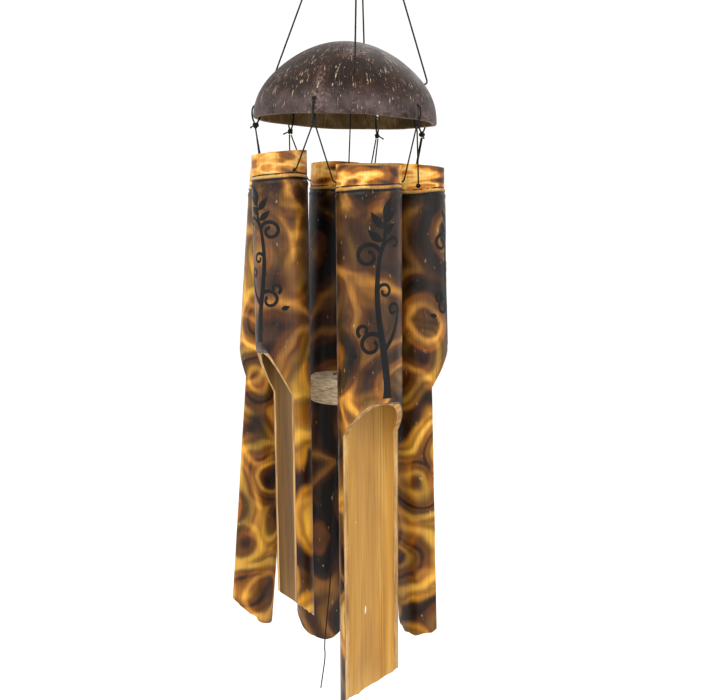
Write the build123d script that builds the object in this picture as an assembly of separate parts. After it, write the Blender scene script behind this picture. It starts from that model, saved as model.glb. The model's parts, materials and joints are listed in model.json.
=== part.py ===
from build123d import *
import math
import os
from dataclasses import dataclass

# A wind chime: six scooped bamboo tubes hang on cords from the rim of half a coconut shell, round a
# wooden clapper. Four cord legs gather above the shell in a knot, whose loop hangs on a steel ring.
# Millimetres. The origin is the point inside the ring where a hook carries it, +Z is up and -Y is the
# front. Angles go round the shell's axis in degrees, from the front (0) towards +X (90).

# ---- hanging gear ----
RING_WIRE = 2.5
RING_INNER = 20.0
LOOP_CORD = 1.4
LOOP_LENGTH = 7.8              # between the centres of the loop's two round ends
TOP_KNOT = 6.4
CORD = 1.3                     # the suspension cords and the rim loops
FINE_CORD = 1.1                # the strands that carry the tubes
CLAPPER_CORD = 1.0

# ---- coconut shell: a dome, open below ----
SHELL_X = -2.5                 # the shell's axis hangs this far beside the ring's plumb line
RIM_Z = -215.0
SHELL_RADIUS = 62.5
SHELL_HEIGHT = 53.0
SHELL_WALL = 3.5
SIDE_RADIUS = 45.0             # the outline's arc at the rim; a flatter one closes the crown
LEG_HOLE = 4.4
LEG_HOLE_HEIGHT = 26.5         # above the rim
LEG_HOLE_ANGLES = {"left": -110.0, "right": 88.0, "front": 6.0, "back": 166.0}
SEAM_ANGLE = 45.0              # turns the revolved surfaces' seam away from every hole
RIM_HOLE = 3.2
RIM_HOLE_HEIGHT = 9.0
RIM_ANGLES = [-90.0, -18.0, 50.5, 116.5, 157.5, 221.0]
RIM_KNOT = 4.0
RIM_KNOT_DROP = 4.5            # from the rim's edge to the knot's centre
STRAND_SPREAD = 0.75           # each strand leaves its rim knot this far to its own side

# ---- bamboo tubes ----
TUBE_RING = 50.0               # the tubes' distance from the shell's axis, at their holes
TUBE_WALL = 3.6
CORD_HOLE = 3.2                # each tube's two cord holes
HOLE_KNOT = 3.8
SEPTUM_DROP = 2.4              # from the holes down to the septum that closes the cup
SEPTUM = 3.0
NODE_RIDGE = 0.5               # the node's ring stands out this far
NODE_RIDGE_WIDTH = 2.6
TOP_SLOPE = 6.0                # degrees; each top is sawn lower on its outer side
TROUGH_DEPTH = 0.5             # the trough's edges lie this far past the tube's axis, on the open side
FOOT_CUT = 38.0                # degrees; the foot is sawn from its tip up towards the open side

# ---- clapper ----
CLAPPER_X = 1.2
CROSSING_Z = -190.0            # where the suspension cords cross inside the shell
HITCH_KNOT = 4.0
HITCH_LOOP_RADIUS = 2.3
DISC_TOP_Z = -389.5
DISC_DIAMETER = 43.4
DISC_THICKNESS = 18.0
DISC_EDGE = 2.0
DISC_BORE = 2.4
DISC_KNOT = 4.4
TAIL_CORD = 1.0
TAIL_ROUTE = [
    (0.4, 0.0, -426.0),
    (-0.4, 0.6, -464.0),
    (-0.9, 0.0, -503.0),
    (-1.4, -0.6, -541.0),
    (-3.4, 0.0, -574.0),
    (-4.1, 0.3, -588.0),
    (-3.1, 0.0, -596.0),
    (-4.2, 0.0, -607.0),
    (-5.6, 0.3, -620.5),
]

RUNNING_GAP = 0.3              # between pieces that move on each other
TOUCH_GAP = 0.05               # between pieces of one body that lie against each other
LOOP_PLAY = 0.35               # between the top loop and the ring's wire
LEG_STAND_OFF = 1.6            # from the dome to a leg cord's line at its outer corner
LEG_REACH_IN = 2.0             # from the dome's inside to the cord's line at its inner corner
LEG_BEND = 1.9
RIM_BEND = 1.0
RIM_OUTER_PLAY = 0.45          # between the rim loops and the wall, outside and inside
RIM_INNER_PLAY = 0.6
RIM_LEAN_OUT = 0.3             # how far a rim loop's hole end leans in over its lower end
RIM_LEAN_IN = 0.9
RIM_LOW = 0.5                  # the rim loops' lower corners, above the rim
STRAND_BEND = 1.6
STRAND_STAND_OFF = 1.1         # from the tube's skin to the strand's line at its corner
STRAND_REACH_IN = 0.38         # from the tube's inside to the strand's end
HOLE_KNOT_PLAY = 0.4
HITCH_OVERLAP = 0.4            # how far the hitch's loop sinks into its knot
SLACK = 0.45                   # the share of a run that a slack bend may take
KNOT_BORE_PLAY = 0.02          # between the clapper cord and the knot above the disc
CUT_ROOM = 10.0                # how far cutting solids reach past what they cut


@dataclass
class Tube:
    name: str
    angle: float               # its place round the shell
    opening: float             # the way its scooped side faces
    holes: float               # the way square to its pair of cord holes
    hole_z: float
    top_diameter: float
    foot_diameter: float
    cup: float                 # from the holes up to the top
    scoop: float               # from the holes down to the top of the scoop
    scoop_height: float
    length: float              # from the holes down to the foot's tip
    flare: float               # degrees that it leans outwards, going down
    side_lean: float           # degrees that it leans towards larger angles, going down
    foot_turn: float           # degrees that the foot's cut is turned from the opening
    rim_points: tuple          # the two rim knots that it hangs from


TUBES = [
    Tube("front", 20.2, 31.0, 6.0, -257.0, 43.0, 42.4, 12.0, 137.0, 26.0, 351.0, 2.0, 2.0, 22.0, (1, 2)),
    Tube("right", 86.4, 110.0, 92.0, -257.0, 40.0, 38.0, 14.0, 108.5, 28.0, 312.0, 3.8, 0.0, 45.0, (2, 3)),
    Tube("back_right", 135.4, 141.0, 137.0, -256.0, 36.0, 34.0, 13.0, 109.0, 28.0, 318.0, 2.4, 0.0, 0.0, (3, 4)),
    Tube("back", 184.5, 190.0, 189.0, -254.5, 41.6, 40.0, 13.0, 109.0, 30.0, 345.0, 2.0, 0.0, 0.0, (4, 5)),
    Tube("back_left", 248.8, 232.0, 246.0, -258.0, 39.0, 35.6, 12.0, 106.0, 30.0, 320.0, 2.4, 0.0, 25.0, (5, 0)),
    Tube("front_left", 303.6, 296.0, 306.0, -252.0, 37.6, 34.6, 13.0, 110.5, 36.0, 298.0, -0.5, 4.8, 0.0, (0, 1)),
]


# ---- helpers ----
def around(angle, radius, z):
    """A point at this angle and distance from the shell's axis."""
    turn = math.radians(angle)
    return Vector(SHELL_X + radius * math.sin(turn), -radius * math.cos(turn), z)


def outward(angle):
    turn = math.radians(angle)
    return Vector(math.sin(turn), -math.cos(turn), 0)


def sideways(angle):
    turn = math.radians(angle)
    return Vector(math.cos(turn), math.sin(turn), 0)


def dome_radius(height, inset=0.0):
    """The dome's radius at a height above its rim, below its crown; inset is the depth into the wall."""
    return SHELL_RADIUS - SIDE_RADIUS + math.sqrt((SIDE_RADIUS - inset) ** 2 - height ** 2)


def tube_along(path, diameter):
    section = Plane(origin=path @ 0, z_dir=path % 0) * Circle(diameter / 2)
    return sweep(section, path=path)


def tight_cord(points, diameter, bend):
    """A cord pulled tight: straight runs, with one small bend radius."""
    return tube_along(FilletPolyline(*points, radius=bend), diameter)


def ball(centre, diameter):
    return Pos(*centre) * Sphere(diameter / 2)


def step_from(start, end, distance):
    return start + (end - start).normalized() * distance


# ---- hanging gear ----
RING_RADIUS = (RING_INNER + RING_WIRE) / 2
RING_CENTRE_Z = -RING_INNER / 2
RING_BOTTOM_Z = RING_CENTRE_Z - RING_RADIUS
LOOP_BEND = (RING_WIRE + LOOP_CORD) / 2 + LOOP_PLAY
TOP_KNOT_Z = RING_BOTTOM_Z - LOOP_LENGTH - LOOP_BEND - LOOP_CORD / 2 - RUNNING_GAP - TOP_KNOT / 2


def hanging_ring():
    return Pos(0, 0, RING_CENTRE_Z) * Rot(90, 0, 0) * Torus(RING_RADIUS, RING_WIRE / 2)


def top_loop():
    """The loop of cord round the ring's lowest wire, in the YZ plane."""
    upper = Pos(0, 0, RING_BOTTOM_Z) * Rot(0, 90, 0) * Torus(LOOP_BEND, LOOP_CORD / 2)
    lower = Pos(0, 0, RING_BOTTOM_Z - LOOP_LENGTH) * Rot(0, 90, 0) * Torus(LOOP_BEND, LOOP_CORD / 2)
    side = Pos(0, 0, RING_BOTTOM_Z - LOOP_LENGTH) * Cylinder(
        LOOP_CORD / 2, LOOP_LENGTH, align=(Align.CENTER, Align.CENTER, Align.MIN))
    room = 4 * LOOP_BEND
    half = Box(room, room, room, align=(Align.CENTER, Align.CENTER, Align.MIN))
    upper &= Pos(0, 0, RING_BOTTOM_Z) * half
    lower &= Pos(0, 0, RING_BOTTOM_Z - LOOP_LENGTH - room) * half
    return upper + lower + Pos(0, LOOP_BEND, 0) * side + Pos(0, -LOOP_BEND, 0) * side


# ---- shell and its cords ----
CROWN_RADIUS = ((SHELL_RADIUS**2 - 2 * SHELL_RADIUS * SIDE_RADIUS + SHELL_HEIGHT**2)
                / (2 * (SHELL_HEIGHT - SIDE_RADIUS)))
CROWN_START = math.degrees(math.atan2(CROWN_RADIUS - SHELL_HEIGHT, SHELL_RADIUS - SIDE_RADIUS))


def radial_hole(angle, height, diameter):
    bore = Cylinder(diameter / 2, 4 * SHELL_WALL + 2 * CUT_ROOM)
    return Plane(origin=around(angle, dome_radius(height), RIM_Z + height), z_dir=outward(angle)) * bore


def dome_arcs(inset):
    """The dome's outline from rim to crown: a side arc and a crown arc, tangent where they meet."""
    side = CenterArc((SHELL_RADIUS - SIDE_RADIUS, 0), SIDE_RADIUS - inset, 0, CROWN_START)
    crown = CenterArc((0, SHELL_HEIGHT - CROWN_RADIUS), CROWN_RADIUS - inset, CROWN_START, 90 - CROWN_START)
    return side, crown


def coconut_shell():
    with BuildSketch(Plane.XZ) as half_section:
        with BuildLine():
            outer_side, outer_crown = dome_arcs(0)
            inner_side, inner_crown = dome_arcs(SHELL_WALL)
            Line(outer_side @ 0, inner_side @ 0)
            Line(outer_crown @ 1, inner_crown @ 1)
        make_face()
    shell = Pos(SHELL_X, 0, RIM_Z) * Rot(0, 0, SEAM_ANGLE) * revolve(half_section.sketch, axis=Axis.Z)
    for angle in LEG_HOLE_ANGLES.values():
        shell -= radial_hole(angle, LEG_HOLE_HEIGHT, LEG_HOLE)
    for angle in RIM_ANGLES:
        shell -= radial_hole(angle, RIM_HOLE_HEIGHT, RIM_HOLE)
    return shell


def suspension_cord(first, second, crossing_z):
    """One cord from the top knot through the shell, past the crossing, and back up to the knot."""
    knot = Vector(0, 0, TOP_KNOT_Z)
    hole_z = RIM_Z + LEG_HOLE_HEIGHT
    corner_radius = dome_radius(LEG_HOLE_HEIGHT) + LEG_STAND_OFF
    corners = [around(LEG_HOLE_ANGLES[side], corner_radius, hole_z) for side in (first, second)]
    starts = [step_from(knot, corner, TOP_KNOT / 2 + RUNNING_GAP) for corner in corners]
    mouth_radius = dome_radius(LEG_HOLE_HEIGHT, SHELL_WALL) - LEG_REACH_IN
    mouths = [around(LEG_HOLE_ANGLES[side], mouth_radius, hole_z) for side in (first, second)]
    crossing = Vector(CLAPPER_X, 0, crossing_z)
    route = [starts[0], corners[0], mouths[0], crossing, mouths[1], corners[1], starts[1]]
    return tight_cord(route, CORD, LEG_BEND)


def rim_knot_centre(number):
    middle = SHELL_RADIUS - SHELL_WALL / 2
    return around(RIM_ANGLES[number], middle, RIM_Z - RIM_KNOT_DROP)


def rim_loop(number):
    """The loop from a rim knot, up outside the wall, in through its hole and down inside."""
    angle = RIM_ANGLES[number]
    knot = rim_knot_centre(number)
    hole_z = RIM_Z + RIM_HOLE_HEIGHT
    outer = SHELL_RADIUS + CORD / 2 + RIM_OUTER_PLAY
    inner = SHELL_RADIUS - SHELL_WALL - CORD / 2 - RIM_INNER_PLAY
    low_outer = around(angle, outer, RIM_Z + RIM_LOW)
    high_outer = around(angle, outer - RIM_LEAN_OUT, hole_z)
    high_inner = around(angle, inner - RIM_LEAN_IN, hole_z)
    low_inner = around(angle, inner, RIM_Z + RIM_LOW)
    gap = RIM_KNOT / 2 + TOUCH_GAP
    route = [step_from(knot, low_outer, gap), low_outer, high_outer, high_inner, low_inner,
             step_from(knot, low_inner, gap)]
    return tight_cord(route, CORD, RIM_BEND)


# ---- tubes and their strands ----
def tube_plane(tube):
    """Its own frame: origin between the cord holes, X through them, -Y outwards, Z up along the tube."""
    down = (Vector(0, 0, -1) + outward(tube.angle) * math.tan(math.radians(tube.flare))
            + sideways(tube.angle) * math.tan(math.radians(tube.side_lean)))
    origin = around(tube.angle, TUBE_RING, tube.hole_z)
    return Plane(origin=origin, x_dir=sideways(tube.holes), z_dir=-down)


def radius_at_holes(tube):
    drop = tube.cup / (tube.cup + tube.length)
    return (tube.top_diameter + (tube.foot_diameter - tube.top_diameter) * drop) / 2


def upright_cone(low_radius, high_radius, low_z, high_z):
    cone = Cone(low_radius, high_radius, high_z - low_z, align=(Align.CENTER, Align.CENTER, Align.MIN))
    return Pos(0, 0, low_z) * cone


def upright_cylinder(radius, low_z, high_z):
    cylinder = Cylinder(radius, high_z - low_z, align=(Align.CENTER, Align.CENTER, Align.MIN))
    return Pos(0, 0, low_z) * cylinder


def bamboo_tube(tube):
    top = tube.top_diameter / 2
    foot = tube.foot_diameter / 2
    room = 3 * tube.top_diameter
    body = upright_cone(foot, top, -tube.length, tube.cup + CUT_ROOM)
    ridge_z = -SEPTUM_DROP - SEPTUM / 2 - NODE_RIDGE_WIDTH / 2
    ridge = radius_at_holes(tube) + NODE_RIDGE
    body += upright_cylinder(ridge, ridge_z, ridge_z + NODE_RIDGE_WIDTH)
    septum_floor = -SEPTUM_DROP - SEPTUM
    body -= upright_cone(foot - TUBE_WALL, top - TUBE_WALL, -tube.length - CUT_ROOM, septum_floor)
    cup_radius = radius_at_holes(tube) - TUBE_WALL
    body -= upright_cylinder(cup_radius, -SEPTUM_DROP, tube.cup + 2 * CUT_ROOM)
    saw = Box(room, room, room, align=(Align.CENTER, Align.CENTER, Align.MIN))
    body -= Pos(0, 0, tube.cup) * Rot(TOP_SLOPE, 0, 0) * saw
    body -= Rot(0, 90, 0) * Cylinder(CORD_HOLE / 2, room)

    turn = Rot(0, 0, tube.opening - tube.holes)
    scoop_foot = -tube.scoop - tube.scoop_height
    trough = Box(room, room, tube.length, align=(Align.CENTER, Align.MAX, Align.MAX))
    body -= turn * Pos(0, -TROUGH_DEPTH, scoop_foot) * trough
    side_view = Polygon((-room, -tube.scoop), (-top, -tube.scoop), (-TROUGH_DEPTH, scoop_foot),
                        (-room, scoop_foot), align=None)
    body -= turn * extrude(Plane.YZ * side_view, amount=room / 2, both=True)

    blade = Box(room, room, room, align=(Align.CENTER, Align.CENTER, Align.MAX))
    foot_turn = Rot(0, 0, tube.opening + tube.foot_turn - tube.holes)
    body -= foot_turn * Pos(0, foot, -tube.length) * Rot(-FOOT_CUT, 0, 0) * blade
    return tube_plane(tube) * body


def strand(tube, side):
    """One strand, from its rim knot down beside the tube and in through a hole; side is -1 or 1."""
    plane = tube_plane(tube)
    outer = radius_at_holes(tube)
    beside = plane.from_local_coords(Vector(side * (outer + STRAND_STAND_OFF), 0, 0))
    inside = plane.from_local_coords(Vector(side * (outer - TUBE_WALL - STRAND_REACH_IN), 0, 0))
    number = tube.rim_points[0 if side < 0 else 1]
    below_knot = Vector(0, 0, -RIM_KNOT / 2 - RUNNING_GAP)
    start = rim_knot_centre(number) + below_knot - sideways(RIM_ANGLES[number]) * side * STRAND_SPREAD
    return tight_cord([start, beside, inside], FINE_CORD, STRAND_BEND)


def hole_knots(tube):
    """The two stop knots inside the cup, one group of separate solids."""
    reach = radius_at_holes(tube) - TUBE_WALL - HOLE_KNOT_PLAY - HOLE_KNOT / 2
    plane = tube_plane(tube)
    centres = [plane.from_local_coords(Vector(side * reach, 0, 0)) for side in (-1, 1)]
    return Compound(children=[ball(centre, HOLE_KNOT) for centre in centres])


# ---- clapper ----
HITCH_LOOP_Z = CROSSING_Z + CORD / 2 + TOUCH_GAP
HITCH_KNOT_Z = HITCH_LOOP_Z - HITCH_LOOP_RADIUS - HITCH_KNOT / 2 + HITCH_OVERLAP
CLAPPER_CORD_TOP = HITCH_KNOT_Z - HITCH_KNOT / 2 - RUNNING_GAP
DISC_FOOT_Z = DISC_TOP_Z - DISC_THICKNESS
LOWER_KNOT_Z = DISC_FOOT_Z - DISC_KNOT / 2 - RUNNING_GAP


def clapper_hitch():
    """The loop over the crossed cords, on the diagonal between them, and the knot under it."""
    loop = Pos(CLAPPER_X, 0, HITCH_LOOP_Z) * Rot(0, 0, 45) * Rot(90, 0, 0) * Torus(
        HITCH_LOOP_RADIUS, CLAPPER_CORD / 2)
    return loop + ball((CLAPPER_X, 0, HITCH_KNOT_Z), HITCH_KNOT)


def clapper_cord():
    length = CLAPPER_CORD_TOP - DISC_FOOT_Z
    return Pos(CLAPPER_X, 0, DISC_FOOT_Z) * Cylinder(
        CLAPPER_CORD / 2, length, align=(Align.CENTER, Align.CENTER, Align.MIN))


def clapper_disc():
    disc = Cylinder(DISC_DIAMETER / 2, DISC_THICKNESS)
    disc = fillet(disc.edges(), DISC_EDGE) - Cylinder(DISC_BORE / 2, DISC_THICKNESS)
    return Pos(CLAPPER_X, 0, DISC_TOP_Z - DISC_THICKNESS / 2) * disc


def clapper_upper_knot():
    centre = (CLAPPER_X, 0, DISC_TOP_Z + DISC_KNOT / 2)
    return ball(centre, DISC_KNOT) - Pos(*centre) * Cylinder(CLAPPER_CORD / 2 + KNOT_BORE_PLAY, DISC_KNOT)


def clapper_lower_knot():
    return ball((CLAPPER_X, 0, LOWER_KNOT_Z), DISC_KNOT)


def free_bends(points):
    """Each corner's radius on a slack cord, as large as its two runs allow."""
    radii = []
    for before, corner, after in zip(points, points[1:], points[2:]):
        arriving = corner - before
        leaving = after - corner
        half_turn = math.radians(arriving.get_angle(leaving)) / 2
        radii.append(SLACK * min(arriving.length, leaving.length) / math.tan(half_turn))
    return radii


def clapper_tail():
    start = (CLAPPER_X, 0, LOWER_KNOT_Z - DISC_KNOT / 2 - RUNNING_GAP)
    points = [Vector(*point) for point in [start] + TAIL_ROUTE]
    radii = free_bends(points)
    path = FilletPolyline(*points, radius=radii)
    tail = tube_along(path, TAIL_CORD)
    print("clapper_tail length", round(path.length, 1), "bend radii", [round(radius, 1) for radius in radii])
    print("clapper_tail volume", round(tail.volume, 1), "of", round(path.length * math.pi * TAIL_CORD**2 / 4, 1))
    return tail


# ---- the nodes ----
def make_nodes():
    nodes = {
        "hanging_ring": hanging_ring(),
        "top_loop": top_loop(),
        "top_knot": ball((0, 0, TOP_KNOT_Z), TOP_KNOT),
        "suspension_cord_side": suspension_cord("left", "right", CROSSING_Z),
        "suspension_cord_front": suspension_cord("front", "back", CROSSING_Z + CORD + 2 * TOUCH_GAP),
        "coconut_shell": coconut_shell(),
        "clapper_hitch": clapper_hitch(),
        "clapper_cord": clapper_cord(),
        "clapper_upper_knot": clapper_upper_knot(),
        "clapper_disc": clapper_disc(),
        "clapper_lower_knot": clapper_lower_knot(),
        "clapper_tail": clapper_tail(),
    }
    for number in range(len(RIM_ANGLES)):
        nodes[f"rim_loop_{number + 1}"] = rim_loop(number)
        nodes[f"rim_knot_{number + 1}"] = ball(rim_knot_centre(number), RIM_KNOT)
    for tube in TUBES:
        nodes[f"bamboo_tube_{tube.name}"] = bamboo_tube(tube)
        nodes[f"strand_left_{tube.name}"] = strand(tube, -1)
        nodes[f"strand_right_{tube.name}"] = strand(tube, 1)
        nodes[f"hole_knots_{tube.name}"] = hole_knots(tube)
    return nodes


os.makedirs("parts", exist_ok=True)
NODES = make_nodes()
for node_name, shape in NODES.items():
    export_step(shape, f"parts/{node_name}.step")
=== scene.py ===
import json
import math
from dataclasses import dataclass

import bmesh
import bpy
import numpy as np
from mathutils import Matrix, Vector


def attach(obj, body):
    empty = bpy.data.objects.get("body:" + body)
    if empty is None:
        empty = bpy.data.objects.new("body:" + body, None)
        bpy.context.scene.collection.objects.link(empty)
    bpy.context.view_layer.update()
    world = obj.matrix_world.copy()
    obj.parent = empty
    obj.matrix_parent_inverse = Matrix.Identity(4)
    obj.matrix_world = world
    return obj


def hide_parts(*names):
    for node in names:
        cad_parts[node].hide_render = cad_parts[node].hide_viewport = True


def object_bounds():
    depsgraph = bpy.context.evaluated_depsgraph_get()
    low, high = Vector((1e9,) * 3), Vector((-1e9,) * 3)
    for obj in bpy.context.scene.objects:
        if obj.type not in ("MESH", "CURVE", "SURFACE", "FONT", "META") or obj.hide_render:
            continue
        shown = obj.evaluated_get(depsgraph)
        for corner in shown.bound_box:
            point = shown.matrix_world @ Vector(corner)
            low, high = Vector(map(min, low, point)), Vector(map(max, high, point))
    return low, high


# A bamboo wind chime. Lengths are metres; MM turns the object's millimetres into them. Angles go
# round the shell's axis in degrees, from the front (-Y, 0) towards +X (90).
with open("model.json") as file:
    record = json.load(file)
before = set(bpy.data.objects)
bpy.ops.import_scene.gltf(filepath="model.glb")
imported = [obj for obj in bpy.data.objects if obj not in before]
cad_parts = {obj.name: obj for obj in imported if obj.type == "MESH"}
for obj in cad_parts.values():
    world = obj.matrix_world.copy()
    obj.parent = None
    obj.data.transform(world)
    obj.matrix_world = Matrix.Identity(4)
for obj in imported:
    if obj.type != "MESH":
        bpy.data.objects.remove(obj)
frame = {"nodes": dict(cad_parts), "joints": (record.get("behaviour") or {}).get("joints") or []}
CAD_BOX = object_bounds()
JOINTS = {joint["name"]: joint for joint in frame["joints"]}
MM = 0.001
SEED = 7

# ---- the object's own sizes ----
CORD = 1.3 * MM                 # the suspension cords, the rim loops and their knots
FINE_CORD = 1.1 * MM
CLAPPER_CORD = 1.0 * MM
TUBE_WALL = 3.6 * MM
SEPTUM_TOP = -2.4 * MM          # from a tube's cord holes
SEPTUM_FLOOR = -5.4 * MM
NODE_Z = -3.9 * MM
CORD_HOLE = 3.2 * MM
TOP_SLOPE = 6.0
TROUGH_DEPTH = 0.5 * MM
FOOT_CUT = 38.0
SHELL_WALL = 3.5 * MM
SHELL_SIDE_RADIUS = 45.0 * MM
RIM_ANGLES = [-90.0, -18.0, 50.5, 116.5, 157.5, 221.0]
RIM_HOLE = 3.2 * MM
RIM_HOLE_HEIGHT = 9.0 * MM
LEG_HOLE = 4.4 * MM
LEG_HOLE_HEIGHT = 26.5 * MM
LEG_HOLE_ANGLES = {"left": -110.0, "right": 88.0, "front": 6.0, "back": 166.0}
SHELL_X = -2.5 * MM
RIM_Z = -215.0 * MM
SHELL_RADIUS = 62.5 * MM
CROWN_RADIUS = 68.14 * MM
CROWN_CENTRE = 53.0 * MM - CROWN_RADIUS        # the height of the crown's centre above the rim
SHOULDER_DENT = 1.2 * MM        # how far the shell's shoulder lies inside the dome's plain arcs
CROWN_EDGE = 49.14              # degrees from the top where the dome's crown meets its side
RIM_KNOT = 4.0 * MM
RIM_KNOT_DROP = 4.5 * MM
STRAND_SPREAD = 0.75 * MM
HOLE_KNOT = 3.8 * MM
RING_BOTTOM_Z = -21.25 * MM
LOOP_CORD = 1.4 * MM
LOOP_LENGTH = 7.8 * MM
LOOP_BEND = 2.45 * MM
TOP_KNOT = 6.4 * MM
TOP_KNOT_Z = -35.55 * MM
CLAPPER_X = 1.2 * MM
CROSSING_Z = -190.0 * MM
HITCH_LOOP_RADIUS = 2.3 * MM
HITCH_KNOT = 4.0 * MM
HITCH_KNOT_Z = -193.2 * MM
CLAPPER_CORD_TOP = -195.5 * MM
DISC_TOP_Z = -389.5 * MM
DISC_THICKNESS = 18.0 * MM
DISC_RADIUS = 21.7 * MM
DISC_BORE = 2.4 * MM
DISC_KNOT = 4.4 * MM
KNOT_CORD_SHARE = 0.40          # the cord's thickness inside a knot, as a share of the knot's width
LOWER_KNOT_Z = -410.0 * MM
TAIL_TOP = (1.2, 0.0, -412.5)
TAIL_ROUTE = [
    (0.4, 0.0, -426.0), (-0.4, 0.6, -464.0), (-0.9, 0.0, -503.0), (-1.4, -0.6, -541.0), (-3.4, 0.0, -574.0),
    (-4.1, 0.3, -588.0), (-3.1, 0.0, -596.0), (-4.2, 0.0, -607.0), (-5.6, 0.3, -620.5)]


@dataclass
class Tube:
    name: str
    angle: float               # its place round the shell
    opening: float             # the way its scooped side faces
    holes: float               # the way square to its pair of cord holes
    top_radius: float
    foot_radius: float
    cup: float                 # from the holes up to the top
    scoop: float               # from the holes down to the top of the scoop
    scoop_height: float
    length: float              # from the holes down to the foot's tip
    flare: float               # degrees that it leans outwards, going down
    side_lean: float
    foot_turn: float
    rim_knots: tuple           # the numbers of the two knots that it hangs from
    gold_top: float            # how golden, not burnt dark, its skin is above the scoop, 0 to 1; the back tube's values below 0 also stand for painted shade
    gold_foot: float           # the same below the scoop
    smoke_and_sheen: float               # how much grey is on it, 0 to 1: smoke, and in part a painted sheen of the bright surroundings
    pale: float                # how pale its trough is, 0 to 1; a dark trough is partly stain and partly painted shade
    tree_turn: float           # degrees from its opening to its painted tree
    tree_hand: int             # 1, or -1 for a mirrored tree
    seed: int


def mm_tube(name, angle, opening, holes, widths, heights, leans, foot_turn, rim_knots, looks, tree, seed):
    top, foot = (0.5 * width * MM for width in widths)
    cup, scoop, scoop_height, length = (height * MM for height in heights)
    return Tube(name, angle, opening, holes, top, foot, cup, scoop, scoop_height, length,
                leans[0], leans[1], foot_turn, rim_knots, *looks, *tree, seed)


TUBES = [
    mm_tube("front", 20.2, 31, 6, (43, 42.4), (12, 137, 26, 351), (2, 2), 22, (2, 3),
            (0.10, 0.6, 0.45, 1.0), (0, 1), 11),
    mm_tube("right", 86.4, 110, 92, (40, 38), (14, 108.5, 28, 312), (3.8, 0), 45, (3, 4),
            (0.05, 0.62, 0.25, 0.7), (-24, 1), 22),
    mm_tube("back_right", 135.4, 141, 137, (36, 34), (13, 109, 28, 318), (2.4, 0), 0, (4, 5),
            (0.2, 0.5, 0.3, 0.8), (0, 1), 33),
    # The back tube's gold below 0 darkens its skin to near black: partly burn, partly painted shade of the
    # tube that hangs behind the others.
    mm_tube("back", 184.5, 190, 189, (41.6, 40), (13, 109, 30, 345), (2, 0), 0, (5, 6),
            (-0.25, -0.15, 0.0, 0.6), (0, 1), 44),
    mm_tube("back_left", 248.8, 232, 246, (39, 35.6), (12, 106, 30, 320), (2.4, 0), 25, (6, 1),
            (0.45, 0.42, 0.0, 0.8), (0, 1), 55),
    mm_tube("front_left", 303.6, 296, 306, (37.6, 34.6), (13, 110.5, 36, 298), (-0.5, 4.8), 0, (1, 2),
            (0.15, 0.75, 1.0, 0.2), (12, -1), 66),
]


# ---- camera, light and stage ----
def make_camera():
    """A long lens about three quarters of a metre away, a little below the shell, tipped down and rolled."""
    distance = 750 * MM
    pitch = math.radians(7.2)
    roll = math.radians(2.1)
    pixels_wide = 701
    metres_per_pixel = 0.70 * MM
    forward = Vector((0, math.cos(pitch), -math.sin(pitch)))
    level_up = Vector((0, math.sin(pitch), math.cos(pitch)))
    level_right = Vector((1, 0, 0))
    right = level_right * math.cos(roll) + level_up * math.sin(roll)
    up = level_up * math.cos(roll) - level_right * math.sin(roll)
    aim = Vector((0, 0, -371.76 * MM))
    aim_beside_centre = 10.0 * metres_per_pixel
    place = aim - forward * distance + right * aim_beside_centre
    camera_data = bpy.data.cameras.new("camera")
    camera_data.sensor_width = 36.0
    camera_data.lens = camera_data.sensor_width * distance / (metres_per_pixel * pixels_wide)
    camera_data.clip_start = 0.01
    camera_data.clip_end = 20.0
    camera = bpy.data.objects.new("camera", camera_data)
    turn = Matrix((right, up, -forward)).transposed().to_4x4()
    camera.matrix_world = Matrix.Translation(place) @ turn
    bpy.context.scene.collection.objects.link(camera)
    bpy.context.scene.camera = camera


def make_light(name, place, size, power):
    data = bpy.data.lights.new(name, "AREA")
    data.size = size
    data.energy = power
    light = bpy.data.objects.new(name, data)
    light.location = place
    light.rotation_euler = (Vector((0, 0, -0.35)) - Vector(place)).to_track_quat("-Z", "Y").to_euler()
    bpy.context.scene.collection.objects.link(light)


def make_stage():
    """A pale floor that curves up into a pale wall behind."""
    floor_z = CAD_BOX[0][2] - 0.28
    wall_y = 2.6
    bend = 0.8
    profile = [(-2.2, floor_z), (wall_y - bend, floor_z)]
    for step in range(1, 17):
        turn = math.radians(90 * step / 16)
        profile.append((wall_y - bend + bend * math.sin(turn), floor_z + bend - bend * math.cos(turn)))
    profile.append((wall_y, floor_z + 3.6))
    half_width = 3.2
    verts = [(side * half_width, y, z) for y, z in profile for side in (-1, 1)]
    faces = [(2 * i, 2 * i + 1, 2 * i + 3, 2 * i + 2) for i in range(len(profile) - 1)]
    stage = make_mesh("stage", verts, faces)
    shader = Shader("stage_white")
    shader.set(base=srgb(246, 245, 243), roughness=0.9)
    stage.data.materials.append(shader.material)


# ---- mesh helpers ----
def make_mesh(name, verts, faces, smooth=True):
    data = bpy.data.meshes.new(name)
    data.from_pydata([tuple(v) for v in verts], [], [tuple(f) for f in faces])
    work = bmesh.new()
    work.from_mesh(data)
    bmesh.ops.recalc_face_normals(work, faces=work.faces)
    work.to_mesh(data)
    work.free()
    data.update()
    thing = bpy.data.objects.new(name, data)
    bpy.context.scene.collection.objects.link(thing)
    if smooth:
        data.polygons.foreach_set("use_smooth", [True] * len(data.polygons))
    return thing


def add_attribute(thing, name, kind, values):
    attribute = thing.data.attributes.new(name, kind, "POINT")
    key = "vector" if kind == "FLOAT_VECTOR" else "value"
    attribute.data.foreach_set(key, np.asarray(values, float).ravel())


def vertex_array(thing):
    points = np.zeros(len(thing.data.vertices) * 3)
    thing.data.vertices.foreach_get("co", points)
    return points.reshape(-1, 3)


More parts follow.
